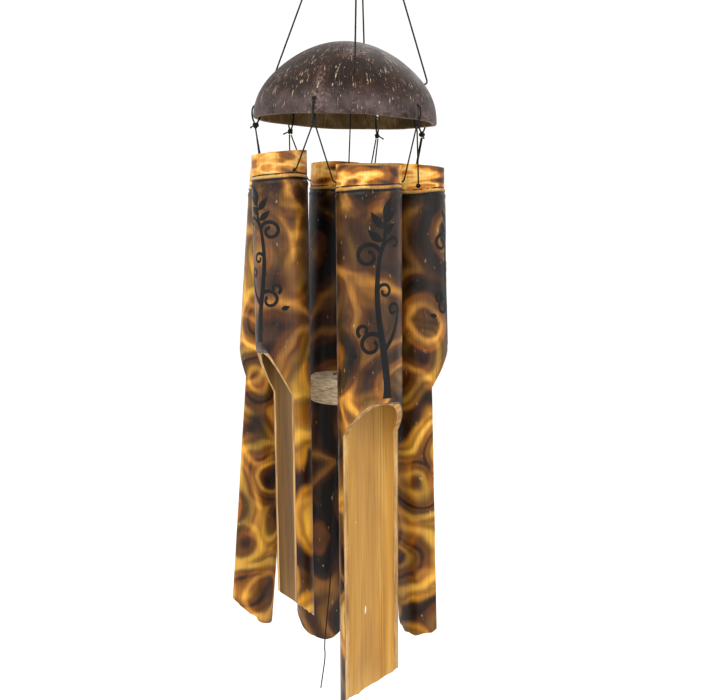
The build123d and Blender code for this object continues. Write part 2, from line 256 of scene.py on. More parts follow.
def grid_faces(rows, columns, closed):
    """Quads between rows of points; closed joins each row's last point to its first."""
    faces = []
    for row in range(rows - 1):
        for column in range(columns if closed else columns - 1):
            after = (column + 1) % columns
            faces.append((row * columns + column, row * columns + after,
                          (row + 1) * columns + after, (row + 1) * columns + column))
    return faces


def end_caps(count, side):
    """The faces that close the first and the last ring of side points, out of count points."""
    return [tuple(range(side))[::-1], tuple(range(count - side, count))]


def fan_ends(faces, rows, columns):
    """Closes the first and last rows on two points that come after all the rows' points."""
    first_pole = rows * columns
    last_row = (rows - 1) * columns
    for column in range(columns):
        after = (column + 1) % columns
        faces.append((first_pole, after, column))
        faces.append((first_pole + 1, last_row + column, last_row + after))


def joined(parts):
    """Several (vertices, faces) as one."""
    verts, faces = [], []
    for part_verts, part_faces in parts:
        start = sum(len(group) for group in verts)
        faces += [tuple(start + corner for corner in face) for face in part_faces]
        verts.append(part_verts)
    return np.concatenate(verts), faces


def outwards(angle):
    turn = math.radians(angle)
    return Vector((math.sin(turn), -math.cos(turn), 0))


def sideways(angle):
    turn = math.radians(angle)
    return Vector((math.cos(turn), math.sin(turn), 0))


def subtract(thing, cutter):
    """The mesh of thing without cutter."""
    modifier = thing.modifiers.new("cut", "BOOLEAN")
    modifier.operation = "DIFFERENCE"
    modifier.solver = "EXACT"
    modifier.object = cutter
    bpy.context.view_layer.update()
    carved = bpy.data.meshes.new_from_object(thing.evaluated_get(bpy.context.evaluated_depsgraph_get()))
    thing.modifiers.clear()
    return carved


def cut_away(thing, cutters):
    """Subtracts the cutters in order and deletes them. The solver sometimes loses the whole body where
    two faces happen to line up, so a cut that leaves too little is made again, turned a little."""
    for cutter in cutters:
        least = 0.3 * len(thing.data.vertices)
        for _ in range(6):
            carved = subtract(thing, cutter)
            if len(carved.vertices) > least:
                break
            cutter.data.transform(Matrix.Rotation(math.radians(0.6), 4, "Z"))
        thing.data = carved
        bpy.data.objects.remove(cutter)


# ---- material helpers ----
def srgb(red, green, blue):
    """A screen colour, 0 to 255 each, as the linear colour that shaders take."""
    def linear(level):
        level /= 255
        return level / 12.92 if level <= 0.04045 else ((level + 0.055) / 1.055) ** 2.4
    return (linear(red), linear(green), linear(blue), 1.0)


class Shader:
    """A material being built from nodes. Each method adds one node and returns the socket it makes."""

    def __init__(self, name):
        self.material = bpy.data.materials.new(name)
        self.material.use_nodes = True
        self.tree = self.material.node_tree
        self.bsdf = self.tree.nodes["Principled BSDF"]

    def plug(self, value, socket):
        if isinstance(value, bpy.types.NodeSocket):
            self.tree.links.new(value, socket)
        else:
            socket.default_value = value

    def set(self, base=None, roughness=None, **others):
        names = {"Base Color": base, "Roughness": roughness}
        for key, value in others.items():
            names[key.replace("_", " ").title().replace("Ior", "IOR")] = value
        for name, value in names.items():
            if value is not None:
                self.plug(value, self.bsdf.inputs[name])

    def attribute(self, name, output="Fac"):
        node = self.tree.nodes.new("ShaderNodeAttribute")
        node.attribute_name = name
        return node.outputs[output]

    def parts(self, vector):
        node = self.tree.nodes.new("ShaderNodeSeparateXYZ")
        self.plug(vector, node.inputs[0])
        return node.outputs

    def math(self, operation, first, second=0.0, clamp=False):
        node = self.tree.nodes.new("ShaderNodeMath")
        node.operation = operation
        node.use_clamp = clamp
        self.plug(first, node.inputs[0])
        self.plug(second, node.inputs[1])
        return node.outputs[0]

    def times(self, first, second, clamp=False):
        return self.math("MULTIPLY", first, second, clamp)

    def vector(self, operation, first, second):
        node = self.tree.nodes.new("ShaderNodeVectorMath")
        node.operation = operation
        self.plug(first, node.inputs[0])
        self.plug(second, node.inputs[1])
        return node.outputs[0]

    def noise(self, vector, scale, detail=3.0, roughness=0.5, distortion=0.0, colour=False):
        node = self.tree.nodes.new("ShaderNodeTexNoise")
        self.plug(vector, node.inputs["Vector"])
        node.inputs["Scale"].default_value = scale
        node.inputs["Detail"].default_value = detail
        node.inputs["Roughness"].default_value = roughness
        node.inputs["Distortion"].default_value = distortion
        return node.outputs["Color" if colour else "Fac"]

    def stretched_noise(self, vector, stretch, scale, *values, **named):
        """Noise over coordinates multiplied by stretch: a small factor draws it out along that axis."""
        return self.noise(self.vector("MULTIPLY", vector, stretch), scale, *values, **named)

    def voronoi(self, vector, scale, feature="F1", output="Distance", randomness=1.0, smoothness=0.3):
        node = self.tree.nodes.new("ShaderNodeTexVoronoi")
        node.feature = feature
        self.plug(vector, node.inputs["Vector"])
        node.inputs["Scale"].default_value = scale
        node.inputs["Randomness"].default_value = randomness
        if feature == "SMOOTH_F1":
            node.inputs["Smoothness"].default_value = smoothness
        return node.outputs[output]

    def ramp(self, value, stops, smooth=False):
        """Stops are (position, colour) pairs; a plain number stands for a grey."""
        node = self.tree.nodes.new("ShaderNodeValToRGB")
        node.color_ramp.interpolation = "EASE" if smooth else "LINEAR"
        elements = node.color_ramp.elements
        while len(elements) < len(stops):
            elements.new(0.5)
        for element, (position, colour) in zip(elements, stops):
            element.position = position
            element.color = colour if isinstance(colour, tuple) else (colour, colour, colour, 1.0)
        self.plug(value, node.inputs[0])
        return node.outputs[0]

    def gamma(self, colour, power):
        node = self.tree.nodes.new("ShaderNodeGamma")
        self.plug(colour, node.inputs[0])
        node.inputs[1].default_value = power
        return node.outputs[0]

    def mix(self, amount, first, second, blend="MIX"):
        node = self.tree.nodes.new("ShaderNodeMix")
        node.data_type = "RGBA"
        node.blend_type = blend
        self.plug(amount, node.inputs[0])
        self.plug(first, node.inputs[6])
        self.plug(second, node.inputs[7])
        return node.outputs[2]

    def spread(self, value, low, high):
        """Maps low..high to 0..1, clamped."""
        node = self.tree.nodes.new("ShaderNodeMapRange")
        self.plug(value, node.inputs["Value"])
        node.inputs["From Min"].default_value = low
        node.inputs["From Max"].default_value = high
        return node.outputs[0]

    def bump(self, height, strength, distance, normal=None):
        node = self.tree.nodes.new("ShaderNodeBump")
        node.inputs["Strength"].default_value = strength
        node.inputs["Distance"].default_value = distance
        self.plug(height, node.inputs["Height"])
        if normal is not None:
            self.plug(normal, node.inputs["Normal"])
        return node.outputs[0]


# ---- bamboo materials ----
# Attributes on every tube: grain = the point in the tube's own frame, moved by a random amount;
# below_node = how far it is below the node ring; tone = how golden, how grey (smoke, and in part a
# painted sheen) and how pale it is there; depth = how far through the wall it is, 0 at the skin and 1 at
# the bore; across = how far it is from the middle of the open side, as a share of the bore's radius.
def bamboo_skin():
    """Torch-burnt and varnished: dark eyes inside brown and amber rings."""
    shader = Shader("bamboo_skin")
    grain = shader.attribute("grain", "Vector")
    below = shader.attribute("below_node")
    gold, smoke_and_sheen, _ = shader.parts(shader.attribute("tone", "Vector"))

    wander = shader.vector("SUBTRACT", shader.noise(grain, 22.0, 2.0, colour=True), (0.5, 0.5, 0.5))
    warped = shader.vector("ADD", grain, shader.vector("MULTIPLY", wander, (0.020, 0.020, 0.026)))
    eyes = shader.voronoi(warped, 21.0, "SMOOTH_F1", smoothness=0.10)
    elsewhere = shader.vector("ADD", warped, (0.37, 0.11, 0.23))
    arcs = shader.voronoi(elsewhere, 17.0, "SMOOTH_F1", smoothness=0.12)
    bright = shader.ramp(eyes, [
        (0.00, srgb(10, 5, 2)), (0.11, srgb(20, 9, 3)), (0.17, srgb(104, 58, 8)),
        (0.22, srgb(236, 186, 78)), (0.29, srgb(178, 122, 28)), (0.34, srgb(76, 40, 6)),
        (0.39, srgb(166, 112, 26)), (0.50, srgb(246, 198, 92)), (0.62, srgb(214, 158, 52)),
        (0.72, srgb(60, 30, 5)), (0.83, srgb(20, 9, 3)), (1.00, srgb(10, 5, 2))], smooth=True)
    dark = shader.ramp(arcs, [
        (0.00, srgb(10, 5, 3)), (0.14, srgb(20, 10, 6)), (0.21, srgb(92, 50, 14)),
        (0.27, srgb(246, 186, 96)), (0.34, srgb(186, 116, 38)), (0.40, srgb(48, 25, 12)),
        (0.48, srgb(26, 14, 9)), (0.56, srgb(116, 68, 22)), (0.63, srgb(240, 178, 84)),
        (0.70, srgb(120, 70, 24)), (0.80, srgb(32, 17, 10)), (1.00, srgb(12, 6, 4))], smooth=True)
    wobble = shader.noise(grain, 38.0, 2.0)
    phase = shader.math("ADD", shader.times(eyes, 42.0), shader.times(wobble, 5.0))
    ringed = shader.times(shader.spread(shader.math("SINE", phase), -0.5, 1.0), 0.42)
    bright = shader.mix(ringed, bright, srgb(58, 30, 5))
    phase = shader.math("ADD", shader.times(arcs, 36.0), shader.times(wobble, 6.0))
    ringed = shader.times(shader.spread(shader.math("SINE", phase), -0.4, 1.0), 0.36)
    dark = shader.mix(ringed, dark, srgb(34, 17, 10))
    patches = shader.math("SUBTRACT", shader.noise(grain, 20.0, 2.0), 0.5)
    choice = shader.math("ADD", gold, shader.times(patches, 1.6), clamp=True)
    burnt = shader.mix(choice, dark, bright)
    # Where gold falls below 0.25 the skin darkens towards near black: burnt skin, and on the back tube, whose
    # gold is below 0, also painted shade.
    night = shader.spread(choice, 0.25, 0.0)
    burnt = shader.mix(shader.times(night, 0.60), burnt, srgb(12, 6, 3))

    # A grey cloud, as strong as the tube's grey share and more towards the top: smoke, and in part a painted
    # sheen of the bright surroundings on the glossy skin.
    cloud = shader.spread(shader.noise(shader.vector("ADD", grain, (0.9, 0.2, 0.4)), 40.0, 3.0), 0.38, 0.62)
    cloud = shader.times(cloud, smoke_and_sheen, clamp=True)
    burnt = shader.mix(shader.times(cloud, 0.75), burnt, srgb(122, 90, 68))
    collar = shader.ramp(shader.spread(below, 0.0, 0.05), [(0.0, 0.9), (0.3, 0.6), (1.0, 0.0)])
    collar = shader.times(collar, shader.spread(shader.noise(grain, 48.0, 3.0), 0.42, 0.58))
    burnt = shader.mix(collar, burnt, srgb(26, 14, 10))

    cup_tone = shader.stretched_noise(grain, (1.0, 1.0, 2.4), 36.0, 2.0, distortion=0.5)
    cup = shader.ramp(cup_tone, [
        (0.32, srgb(64, 38, 24)), (0.41, srgb(164, 102, 30)), (0.47, srgb(236, 176, 72)),
        (0.54, srgb(255, 218, 138)), (0.61, srgb(218, 148, 46)), (0.70, srgb(92, 56, 42))], smooth=True)
    # The same grey share pales the cup: smoke, and in part a painted sheen.
    cup = shader.mix(shader.times(smoke_and_sheen, 0.30), cup, srgb(170, 134, 90))
    colour = shader.mix(shader.spread(below, -0.0006, 0.0006), cup, burnt)
    ridge = shader.ramp(shader.spread(below, -0.004, 0.004), [
        (0.30, 0.0), (0.38, 0.6), (0.56, 0.6), (0.64, 0.0)])
    ridge = shader.times(ridge, shader.spread(shader.noise(grain, 70.0, 3.0), 0.30, 0.55))
    colour = shader.mix(ridge, colour, srgb(206, 170, 112))
    node_band = shader.ramp(shader.spread(below, -0.004, 0.004), [
        (0.00, 0.0), (0.20, 0.0), (0.25, 0.95), (0.32, 0.9), (0.37, 0.0), (0.60, 0.0),
        (0.65, 0.95), (0.76, 0.9), (0.86, 0.0)])
    node_band = shader.times(node_band, shader.spread(shader.noise(grain, 110.0, 3.0), 0.30, 0.46))
    colour = shader.mix(node_band, colour, srgb(22, 14, 10))

    fibres = shader.stretched_noise(grain, (1.0, 1.0, 0.02), 900.0, 3.0)
    colour = shader.gamma(colour, 1.28)
    streaks = shader.ramp(fibres, [(0.30, 0.74), (0.50, 0.92), (0.72, 1.08)])
    colour = shader.mix(1.0, colour, streaks, "MULTIPLY")
    speck = shader.spread(shader.stretched_noise(grain, (1.0, 1.0, 0.35), 420.0, 2.0), 0.70, 0.76)
    colour = shader.mix(shader.times(speck, 0.4), colour, srgb(200, 166, 120))

    haze = shader.noise(grain, 130.0, 3.0)
    rough = shader.ramp(haze, [(0.3, 0.34), (0.7, 0.50)])
    normal = shader.bump(fibres, 0.22, 0.0004)
    normal = shader.bump(shader.noise(grain, 260.0, 3.0), 0.12, 0.0006, normal)
    shader.set(base=colour, roughness=rough, normal=normal, specular_ior_level=0.22, coat_weight=0.04)
    shader.set(coat_roughness=0.25)
    return shader.material


def bamboo_flesh():
    """The plain inside of the wall, straight-grained and tan."""
    shader = Shader("bamboo_flesh")
    grain = shader.attribute("grain", "Vector")
    pale = shader.parts(shader.attribute("tone", "Vector"))[2]
    broad = shader.stretched_noise(grain, (1.0, 1.0, 0.05), 150.0, 3.0)
    fine = shader.stretched_noise(grain, (1.0, 1.0, 0.018), 1000.0, 3.0)
    light = shader.ramp(broad, [
        (0.25, srgb(172, 124, 52)), (0.5, srgb(190, 144, 66)), (0.75, srgb(208, 166, 88))])
    dark = shader.ramp(broad, [(0.25, srgb(58, 36, 18)), (0.5, srgb(92, 62, 32)), (0.75, srgb(126, 92, 54))])
    # The tube's pale share mixes a light and a dark copy of the trough colour: the dark one is partly stain
    # and partly painted shade inside the trough.
    colour = shader.mix(pale, dark, light)
    grey = shader.ramp(fine, [(0.30, 0.72), (0.46, 0.98), (0.70, 1.10)])
    colour = shader.mix(1.0, colour, grey, "MULTIPLY")
    stain = shader.spread(shader.stretched_noise(grain, (1.0, 1.0, 0.3), 55.0, 3.0), 0.52, 0.72)
    colour = shader.mix(shader.times(stain, 0.35), colour, srgb(150, 98, 44))
    across = shader.attribute("across")
    groove = shader.ramp(across, [
        (0.800, 0.0), (0.812, 0.7), (0.822, 0.0), (0.868, 0.0), (0.878, 0.5), (0.888, 0.0)])
    colour = shader.mix(groove, colour, srgb(104, 66, 28))
    chip = shader.spread(shader.stretched_noise(grain, (1.0, 1.0, 0.3), 210.0, 1.0), 0.775, 0.80)
    colour = shader.mix(chip, colour, srgb(246, 236, 214))
    normal = shader.bump(fine, 0.35, 0.0005)
    shader.set(base=colour, roughness=0.58, normal=normal)
    return shader.material


def bamboo_cut():
    """Sawn and carved edges: pale, with dark fibre ends."""
    shader = Shader("bamboo_cut")
    grain = shader.attribute("grain", "Vector")
    tone = shader.stretched_noise(grain, (1.0, 1.0, 0.12), 320.0, 3.0)
    colour = shader.ramp(tone, [
        (0.3, srgb(120, 82, 38)), (0.55, srgb(176, 134, 74)), (0.75, srgb(206, 172, 112))])
    ends = shader.voronoi(shader.vector("MULTIPLY", grain, (1.0, 1.0, 0.12)), 1300.0)
    dots = shader.spread(ends, 0.30, 0.10)
    colour = shader.mix(shader.times(dots, 0.45), colour, srgb(92, 62, 36))
    skin = shader.attribute("depth")
    rind = shader.ramp(skin, [(0.0, 0.75), (0.08, 0.6), (0.2, 0.0)])
    colour = shader.mix(rind, colour, srgb(74, 46, 24))
    shader.set(base=colour, roughness=0.62, normal=shader.bump(ends, 0.3, 0.0004))
    return shader.material


def paint():
    """Flat black stencil paint, a little worn."""
    shader = Shader("stencil_paint")
    grain = shader.attribute("grain", "Vector")
    wear = shader.noise(grain, 150.0, 4.0)
    colour = shader.ramp(wear, [(0.3, srgb(3, 3, 4)), (0.6, srgb(8, 9, 11)), (0.8, srgb(26, 22, 19))])
    fibres = shader.stretched_noise(grain, (1.0, 1.0, 0.03), 800.0, 2.0)
    shader.set(base=colour, roughness=0.5, normal=shader.bump(fibres, 0.2, 0.0003), specular_ior_level=0.2)
    return shader.material


# ---- bamboo tubes ----
def tube_matrix(tube):
    """The tube's own frame: origin between its cord holes, X through them, -Y outwards, Z up along it."""
    joint = JOINTS[f"tube_rock_{tube.name}"]
    up = (Vector((0, 0, 1)) - outwards(tube.angle) * math.tan(math.radians(tube.flare))
          - sideways(tube.angle) * math.tan(math.radians(tube.side_lean))).normalized()
    through = -Vector(joint["axis"])
    through = (through - up * through.dot(up)).normalized()
    turn_matrix = Matrix((through, up.cross(through), up)).transposed().to_4x4()
    return Matrix.Translation(Vector(joint["pos_m"])) @ turn_matrix


def ripple(tube, angle, z, strength):
    """Slow unevenness of a grown stem, the same each run."""
    random = np.random.default_rng(tube.seed)
    total = np.zeros(np.broadcast(angle, z).shape)
    for _ in range(7):
        turns = random.integers(1, 5)
        waves = random.uniform(-26, 26)
        phase = random.uniform(0, 2 * math.pi)
        total = total + np.sin(turns * angle + waves * z + phase) / math.sqrt(turns)
    return strength * total / 4


def node_line(tube, angle):
    """Height of the node ring round the stem: uneven, and tilted up towards +X."""
    around_axis = angle + math.radians(tube.holes)
    wobble = np.sin(3 * angle + tube.seed) + 0.7 * np.sin(5 * angle + 2 * tube.seed)
    return NODE_Z + 0.9 * MM * np.sin(around_axis) + 0.16 * MM * wobble


def outer_radius(tube, angle, z):
    share = (z + tube.length) / (tube.length + tube.cup)
    radius = tube.foot_radius + (tube.top_radius - tube.foot_radius) * share
    below = node_line(tube, angle) - z
    ring = 0.30 * MM * np.exp(-(below / (0.8 * MM)) ** 2)
    upper_groove = 0.35 * MM * np.exp(-((below + 1.5 * MM) / (0.4 * MM)) ** 2)
    lower_groove = 0.40 * MM * np.exp(-((below - 1.9 * MM) / (0.5 * MM)) ** 2)
    shoulder = 0.35 * MM * np.exp(-((below - 4.2 * MM) / (1.6 * MM)) ** 2)
    cup = -0.35 * MM * (0.5 - 0.5 * np.tanh(below / (0.8 * MM)))
    return radius + ring - upper_groove - lower_groove + shoulder + cup + ripple(tube, angle, z, 0.32 * MM)


def inner_radius(tube, angle, z):
    share = (z + tube.length) / (tube.length + tube.cup)
    radius = tube.foot_radius + (tube.top_radius - tube.foot_radius) * share
    return radius - TUBE_WALL + ripple(tube, angle, z + 0.013, 0.22 * MM)


def ring_points(radii, angles, z):
    """Points round the stem; angle 0 is -Y and 90 degrees is +X."""
    heights = np.broadcast_to(z, radii.shape)
    return np.stack([radii * np.sin(angles), -radii * np.cos(angles), heights], axis=1)


def stem_mesh(tube):
    """The whole stem before it is cut: outside, cup, septum and bore, as one closed surface."""
    columns = 128
    angles = np.linspace(0, 2 * math.pi, columns, endpoint=False)
    top = tube.cup + 6 * MM
    foot = -tube.length - 4 * MM
    near_node = np.arange(-11, 3.01, 0.35) * MM
    outside = np.unique(np.concatenate([np.arange(foot, near_node[0], 3.2 * MM), near_node,
                                        np.arange(near_node[-1], top, 1.5 * MM), [top]]).round(6))
    bore = np.concatenate([np.arange(SEPTUM_FLOOR, foot, -4 * MM), [foot]])
    cup = np.concatenate([np.arange(top, SEPTUM_TOP, -2 * MM), [SEPTUM_TOP]])
    rings = []
    for share in (0.4, 0.8):
        rings.append(ring_points(share * inner_radius(tube, angles, SEPTUM_FLOOR), angles, SEPTUM_FLOOR))
    rings += [ring_points(inner_radius(tube, angles, z), angles, z) for z in bore]
    rings += [ring_points(outer_radius(tube, angles, z), angles, z) for z in outside]
    rings += [ring_points(inner_radius(tube, angles, z), angles, z) for z in cup]
    for share in (0.8, 0.4):
        sag = 0.5 * MM * (1 - share)
        rings.append(ring_points(share * inner_radius(tube, angles, SEPTUM_TOP), angles, SEPTUM_TOP - sag))
    verts = np.concatenate(rings)
    faces = [face[::-1] for face in grid_faces(len(rings), columns, True)]
    verts = np.concatenate([verts, [[0, 0, SEPTUM_FLOOR], [0, 0, SEPTUM_TOP - 0.5 * MM]]])
    fan_ends(faces, len(rings), columns)
    return make_mesh(f"stem_{tube.name}", verts, faces)


def prism(name, outline, half_width, columns=2, waver=None):
    """A closed block: an outline in the YZ plane carried along X. waver moves its points a little."""
    xs = np.linspace(-half_width, half_width, columns)
    verts = []
    for x in xs:
        for index, (y, z) in enumerate(outline):
            dy, dz = waver(x, index) if waver else (0, 0)
            verts.append((x, y + dy, z + dz))
    count = len(outline)
    return make_mesh(name, verts, grid_faces(columns, count, True) + end_caps(len(verts), count))


def scoop_cutter(tube):
    """The oblique cut into the open side, and the long trough below it."""
    random = np.random.default_rng(tube.seed + 2)
    top = tube.top_radius
    foot_of_arch = -tube.scoop - tube.scoop_height
    outline = [(-3 * top, -tube.scoop)]
    for step in range(15):
        share = step / 14
        outline.append((-top + (top - TROUGH_DEPTH) * share, -tube.scoop - tube.scoop_height * share))
    last = -tube.length - 20 * MM
    steps = 26
    for step in range(1, steps + 1):
        outline.append((-TROUGH_DEPTH, foot_of_arch + (last - foot_of_arch) * step / steps))
    outline.append((-3 * top, last))
    shifts = random.normal(0, 0.16 * MM, (2, len(outline)))
    kernel = np.ones(3) / 3
    shifts = np.stack([np.convolve(row, kernel, mode="same") for row in shifts])

    def waver(x, index):
        if index in (0, len(outline) - 1):
            return 0, 0
        return shifts[0 if x < 0 else 1][index], 0

    cutter = prism("scoop", outline, 2 * top, waver=waver)
    cutter.data.transform(Matrix.Rotation(math.radians(tube.opening - tube.holes), 4, "Z"))
    return cutter


def sawn_block(name, size, height, rough, seed, cells):
    """A block whose top, at z = 0, is a rough height field over a square; it reaches down by height."""
    random = np.random.default_rng(seed)
    spots = np.linspace(-size, size, cells)
    bumps = random.normal(0, rough, (cells, cells))
    verts = [(x, y, bumps[i][j]) for i, x in enumerate(spots) for j, y in enumerate(spots)]
    faces = grid_faces(cells, cells, False)
    border = [(i, 0) for i in range(cells)] + [(cells - 1, j) for j in range(1, cells)]
    border += [(i, cells - 1) for i in range(cells - 2, -1, -1)] + [(0, j) for j in range(cells - 2, 0, -1)]
    base = len(verts)
    for i, j in border:
        verts.append((spots[i], spots[j], -height))
    for index, (i, j) in enumerate(border):
        following = (index + 1) % len(border)
        ni, nj = border[following]
        faces.append((i * cells + j, base + index, base + following, ni * cells + nj))
    faces.append(tuple(base + index for index in reversed(range(len(border)))))
    return make_mesh(name, verts, faces)


def foot_cutter(tube):
    block = sawn_block("foot", 2.2 * tube.top_radius, 80 * MM, 0.7 * MM, tube.seed + 3, 17)
    turn = Matrix.Rotation(math.radians(tube.opening + tube.foot_turn - tube.holes), 4, "Z")
    place = Matrix.Translation((0, tube.foot_radius, -tube.length))
    block.data.transform(turn @ place @ Matrix.Rotation(math.radians(-FOOT_CUT), 4, "X"))
    return block


def top_cutter(tube):
    block = sawn_block("top", 2 * tube.top_radius, 40 * MM, 0.12 * MM, tube.seed + 4, 26)
    over = Matrix.Rotation(math.pi, 4, "X")
    place = Matrix.Translation((0, 0, tube.cup))
    block.data.transform(place @ Matrix.Rotation(math.radians(TOP_SLOPE), 4, "X") @ over)
    return block


def rod(name, start, end, radius, sides=28):
    start, end = Vector(start), Vector(end)
    turn = (end - start).to_track_quat("Z", "Y").to_matrix()
    verts = []
    for point in (start, end):
        for side in range(sides):
            angle = 2 * math.pi * side / sides
            verts.append(point + turn @ Vector((radius * math.cos(angle), radius * math.sin(angle), 0)))
    return make_mesh(name, verts, grid_faces(2, sides, True) + end_caps(len(verts), sides))


def dress_bamboo(thing, tube, materials):
    """Sorts faces into skin, flesh and cut edges, and adds the attributes that the materials read."""
    points = vertex_array(thing)
    angles = np.arctan2(points[:, 0], -points[:, 1])
    radii = np.hypot(points[:, 0], points[:, 1])
    outside = outer_radius(tube, angles, points[:, 2])
    inside = inner_radius(tube, angles, points[:, 2])
    depth = np.clip((outside - radii) / (outside - inside), 0, 1)
    random = np.random.default_rng(tube.seed + 5)
    add_attribute(thing, "grain", "FLOAT_VECTOR", points + random.uniform(-3, 3, 3))
    add_attribute(thing, "below_node", "FLOAT", node_line(tube, angles) - points[:, 2])
    add_attribute(thing, "depth", "FLOAT", depth)
    height = np.clip((points[:, 2] + tube.scoop + 40 * MM) / (50 * MM), 0, 1)
    gold = tube.gold_foot + (tube.gold_top - tube.gold_foot) * height
    tone = np.stack([gold, tube.smoke_and_sheen * height, np.full(len(points), tube.pale)], axis=1)
    add_attribute(thing, "tone", "FLOAT_VECTOR", tone)
    aside = np.abs(np.sin(angles - math.radians(tube.opening - tube.holes))) * radii
    add_attribute(thing, "across", "FLOAT", aside / inside)
    for material in materials:
        thing.data.materials.append(material)
    for face in thing.data.polygons:
        depths = depth[list(face.vertices)]
        centre = face.center
        radial = Vector((centre.x, centre.y, 0)).normalized().dot(face.normal)
        if depths.max() < 0.1 and radial > 0.5:
            face.material_index = 0
        elif depths.min() > 0.9 and radial < 0.5:
            face.material_index = 1
        else:
            face.material_index = 2
    thing.data.polygons.foreach_set("use_smooth", [True] * len(thing.data.polygons))
    thing.data.set_sharp_from_angle(angle=math.radians(38))


def make_tube(tube, materials):
    stem = stem_mesh(tube)
    reach = 2 * tube.top_radius
    holes = rod("holes", (-reach, 0, 0), (reach, 0, 0), CORD_HOLE / 2)
    cut_away(stem, [foot_cutter(tube), top_cutter(tube), holes, scoop_cutter(tube)])
    dress_bamboo(stem, tube, materials)
    stem.data.transform(tube_matrix(tube))
    stem.name = f"tube_{tube.name}"
    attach(stem, f"tube_{tube.name}")
    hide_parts(f"bamboo_tube_{tube.name}")


# ---- painted tree: strokes given in millimetres, right and up from the foot of the trunk ----
TRUNK_HEIGHT = 93.0
TREE_HEIGHT = 128.0


def curl(foot, towards, radius, hand, turns, width):
    """A stroke that leaves foot on the outside of a spiral and winds in. The centre lies towards."""
    aim = math.radians(towards)
    centre = (foot[0] + radius * math.cos(aim), foot[1] + radius * math.sin(aim))
    points = []
    steps = int(30 * turns) + 6
    for step in range(steps + 1):
        share = step / steps
        angle = aim + math.pi + hand * share * turns * 2 * math.pi
        reach = radius * (1 - 0.70 * share ** 0.9)
        wide = width * (1 - 0.35 * share) + (0.8 * max(0.0, share - 0.9) / 0.1)
        points.append((centre[0] + reach * math.cos(angle), centre[1] + reach * math.sin(angle), wide))
    return points


def leaf(foot, towards, length, width):
    aim = math.radians(towards)
    points = []
    for step in range(15):
        share = step / 14
        side = 0.06 * length * math.sin(math.pi * share)
        wide = 0.12 + width * math.sin(math.pi * share ** 0.8) ** 1.15
        points.append((foot[0] + length * share * math.cos(aim) - side * math.sin(aim),
                       foot[1] + length * share * math.sin(aim) + side * math.cos(aim), wide))
    return points


def branch(start, end, bow, width):
    """A tapering stroke from one point to another, bowed to its left."""
    across, up = end[0] - start[0], end[1] - start[1]
    points = []
    for step in range(17):
        share = step / 16
        side = bow * math.sin(math.pi * share) / math.hypot(across, up)
        points.append((start[0] + across * share - up * side, start[1] + up * share + across * side,
                       width * (1 - 0.45 * share)))
    return points


def trunk():
    points = []
    for step in range(41):
        share = step / 40
        across = -8.5 * math.sin(1.9 * share) ** 2 + 3.2 * share ** 3
        points.append((across, TRUNK_HEIGHT * share, 5.4 - 2.9 * share + 22 * max(0.0, 0.07 - share)))
    return points


def tree_strokes():
    stem = trunk()
    low = stem[13]
    high = stem[29]
    crown = stem[40]
    twig = (crown[0] + 3.4, crown[1] + 20)
    fork = (low[0] + 13.0, low[1] + 25)
    strokes = [
        stem,
        curl(low, 152, 9.2, 1, 1.22, 3.0),
        branch(low, fork, -2.0, 3.2),
        curl(fork, 165, 5.2, 1, 1.0, 2.2),
        curl((low[0] - 15.2, low[1] + 9.5), 62, 4.6, -1, 0.85, 2.6),
        curl(high, 12, 5.4, -1, 1.1, 2.4),
        curl(crown, 196, 8.6, 1, 1.2, 2.9),
        branch(crown, (crown[0] + 8, crown[1] + 9), 1.5, 2.8),
        curl((crown[0] + 8, crown[1] + 9), -50, 4.2, -1, 0.7, 2.4),
        branch(crown, twig, -1.2, 2.6),
        leaf(twig, 72, 16, 5.6),
    ]
    for share, turn, length in ((0.35, 62, 12), (0.75, 50, 14), (0.95, -38, 11), (0.55, -42, 12)):
        foot = (crown[0] + share * 3.4, crown[1] + share * 20)
        strokes.append(leaf(foot, 80 + turn, length, 5.0))
    strokes.append(leaf((low[0] - 17.0, low[1] - 3.0), 165, 7, 3.6))
    return strokes


def stroke_mesh(tube, stroke, centre_angle, foot_z):
    """A thin closed ribbon that lies on the tube's skin."""
    lift = 0.14 * MM
    root = -0.12 * MM
    shrink = (tube.scoop / MM - 9.0) / TREE_HEIGHT
    narrow = shrink ** 0.5
    points = np.array([(tube.tree_hand * across * narrow, up * shrink) for across, up, _ in stroke]) * MM
    widths = np.array([wide * narrow for _, _, wide in stroke]) * MM / 2
    along = np.gradient(points, axis=0)
    along /= np.linalg.norm(along, axis=1)[:, None]
    aside = np.stack([-along[:, 1], along[:, 0]], axis=1)
    rings = []
    for side, height in ((1, root), (1, lift), (0, lift + 0.05 * MM), (-1, lift), (-1, root)):
        flat = points + aside * (widths * side)[:, None]
        z = foot_z + flat[:, 1]
        angle = centre_angle + flat[:, 0] / tube.top_radius
        radius = outer_radius(tube, angle, z) + height
        rings.append(np.stack([radius * np.sin(angle), -radius * np.cos(angle), z], axis=1))
    verts = np.stack(rings, axis=1).reshape(-1, 3)
    return verts, grid_faces(len(points), len(rings), True) + end_caps(len(verts), len(rings))


def make_tree(tube, material):
    centre_angle = math.radians(tube.opening + tube.tree_turn - tube.holes)
    foot_z = -tube.scoop - 0.3 * MM
    verts, faces = joined([stroke_mesh(tube, stroke, centre_angle, foot_z) for stroke in tree_strokes()])
    tree = make_mesh(f"painted_tree_{tube.name}", verts, faces, smooth=False)
    add_attribute(tree, "grain", "FLOAT_VECTOR", verts + tube.seed)
    tree.data.materials.append(material)
    tree.data.transform(tube_matrix(tube))
    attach(tree, f"tube_{tube.name}")


# ---- cords ----
def around(angle, radius, z):
    """A point at this angle and distance from the shell's axis."""
    turn = math.radians(angle)
    return Vector((SHELL_X + radius * math.sin(turn), -radius * math.cos(turn), z))


def step_from(start, end, distance):
    return start + (end - start).normalized() * distance


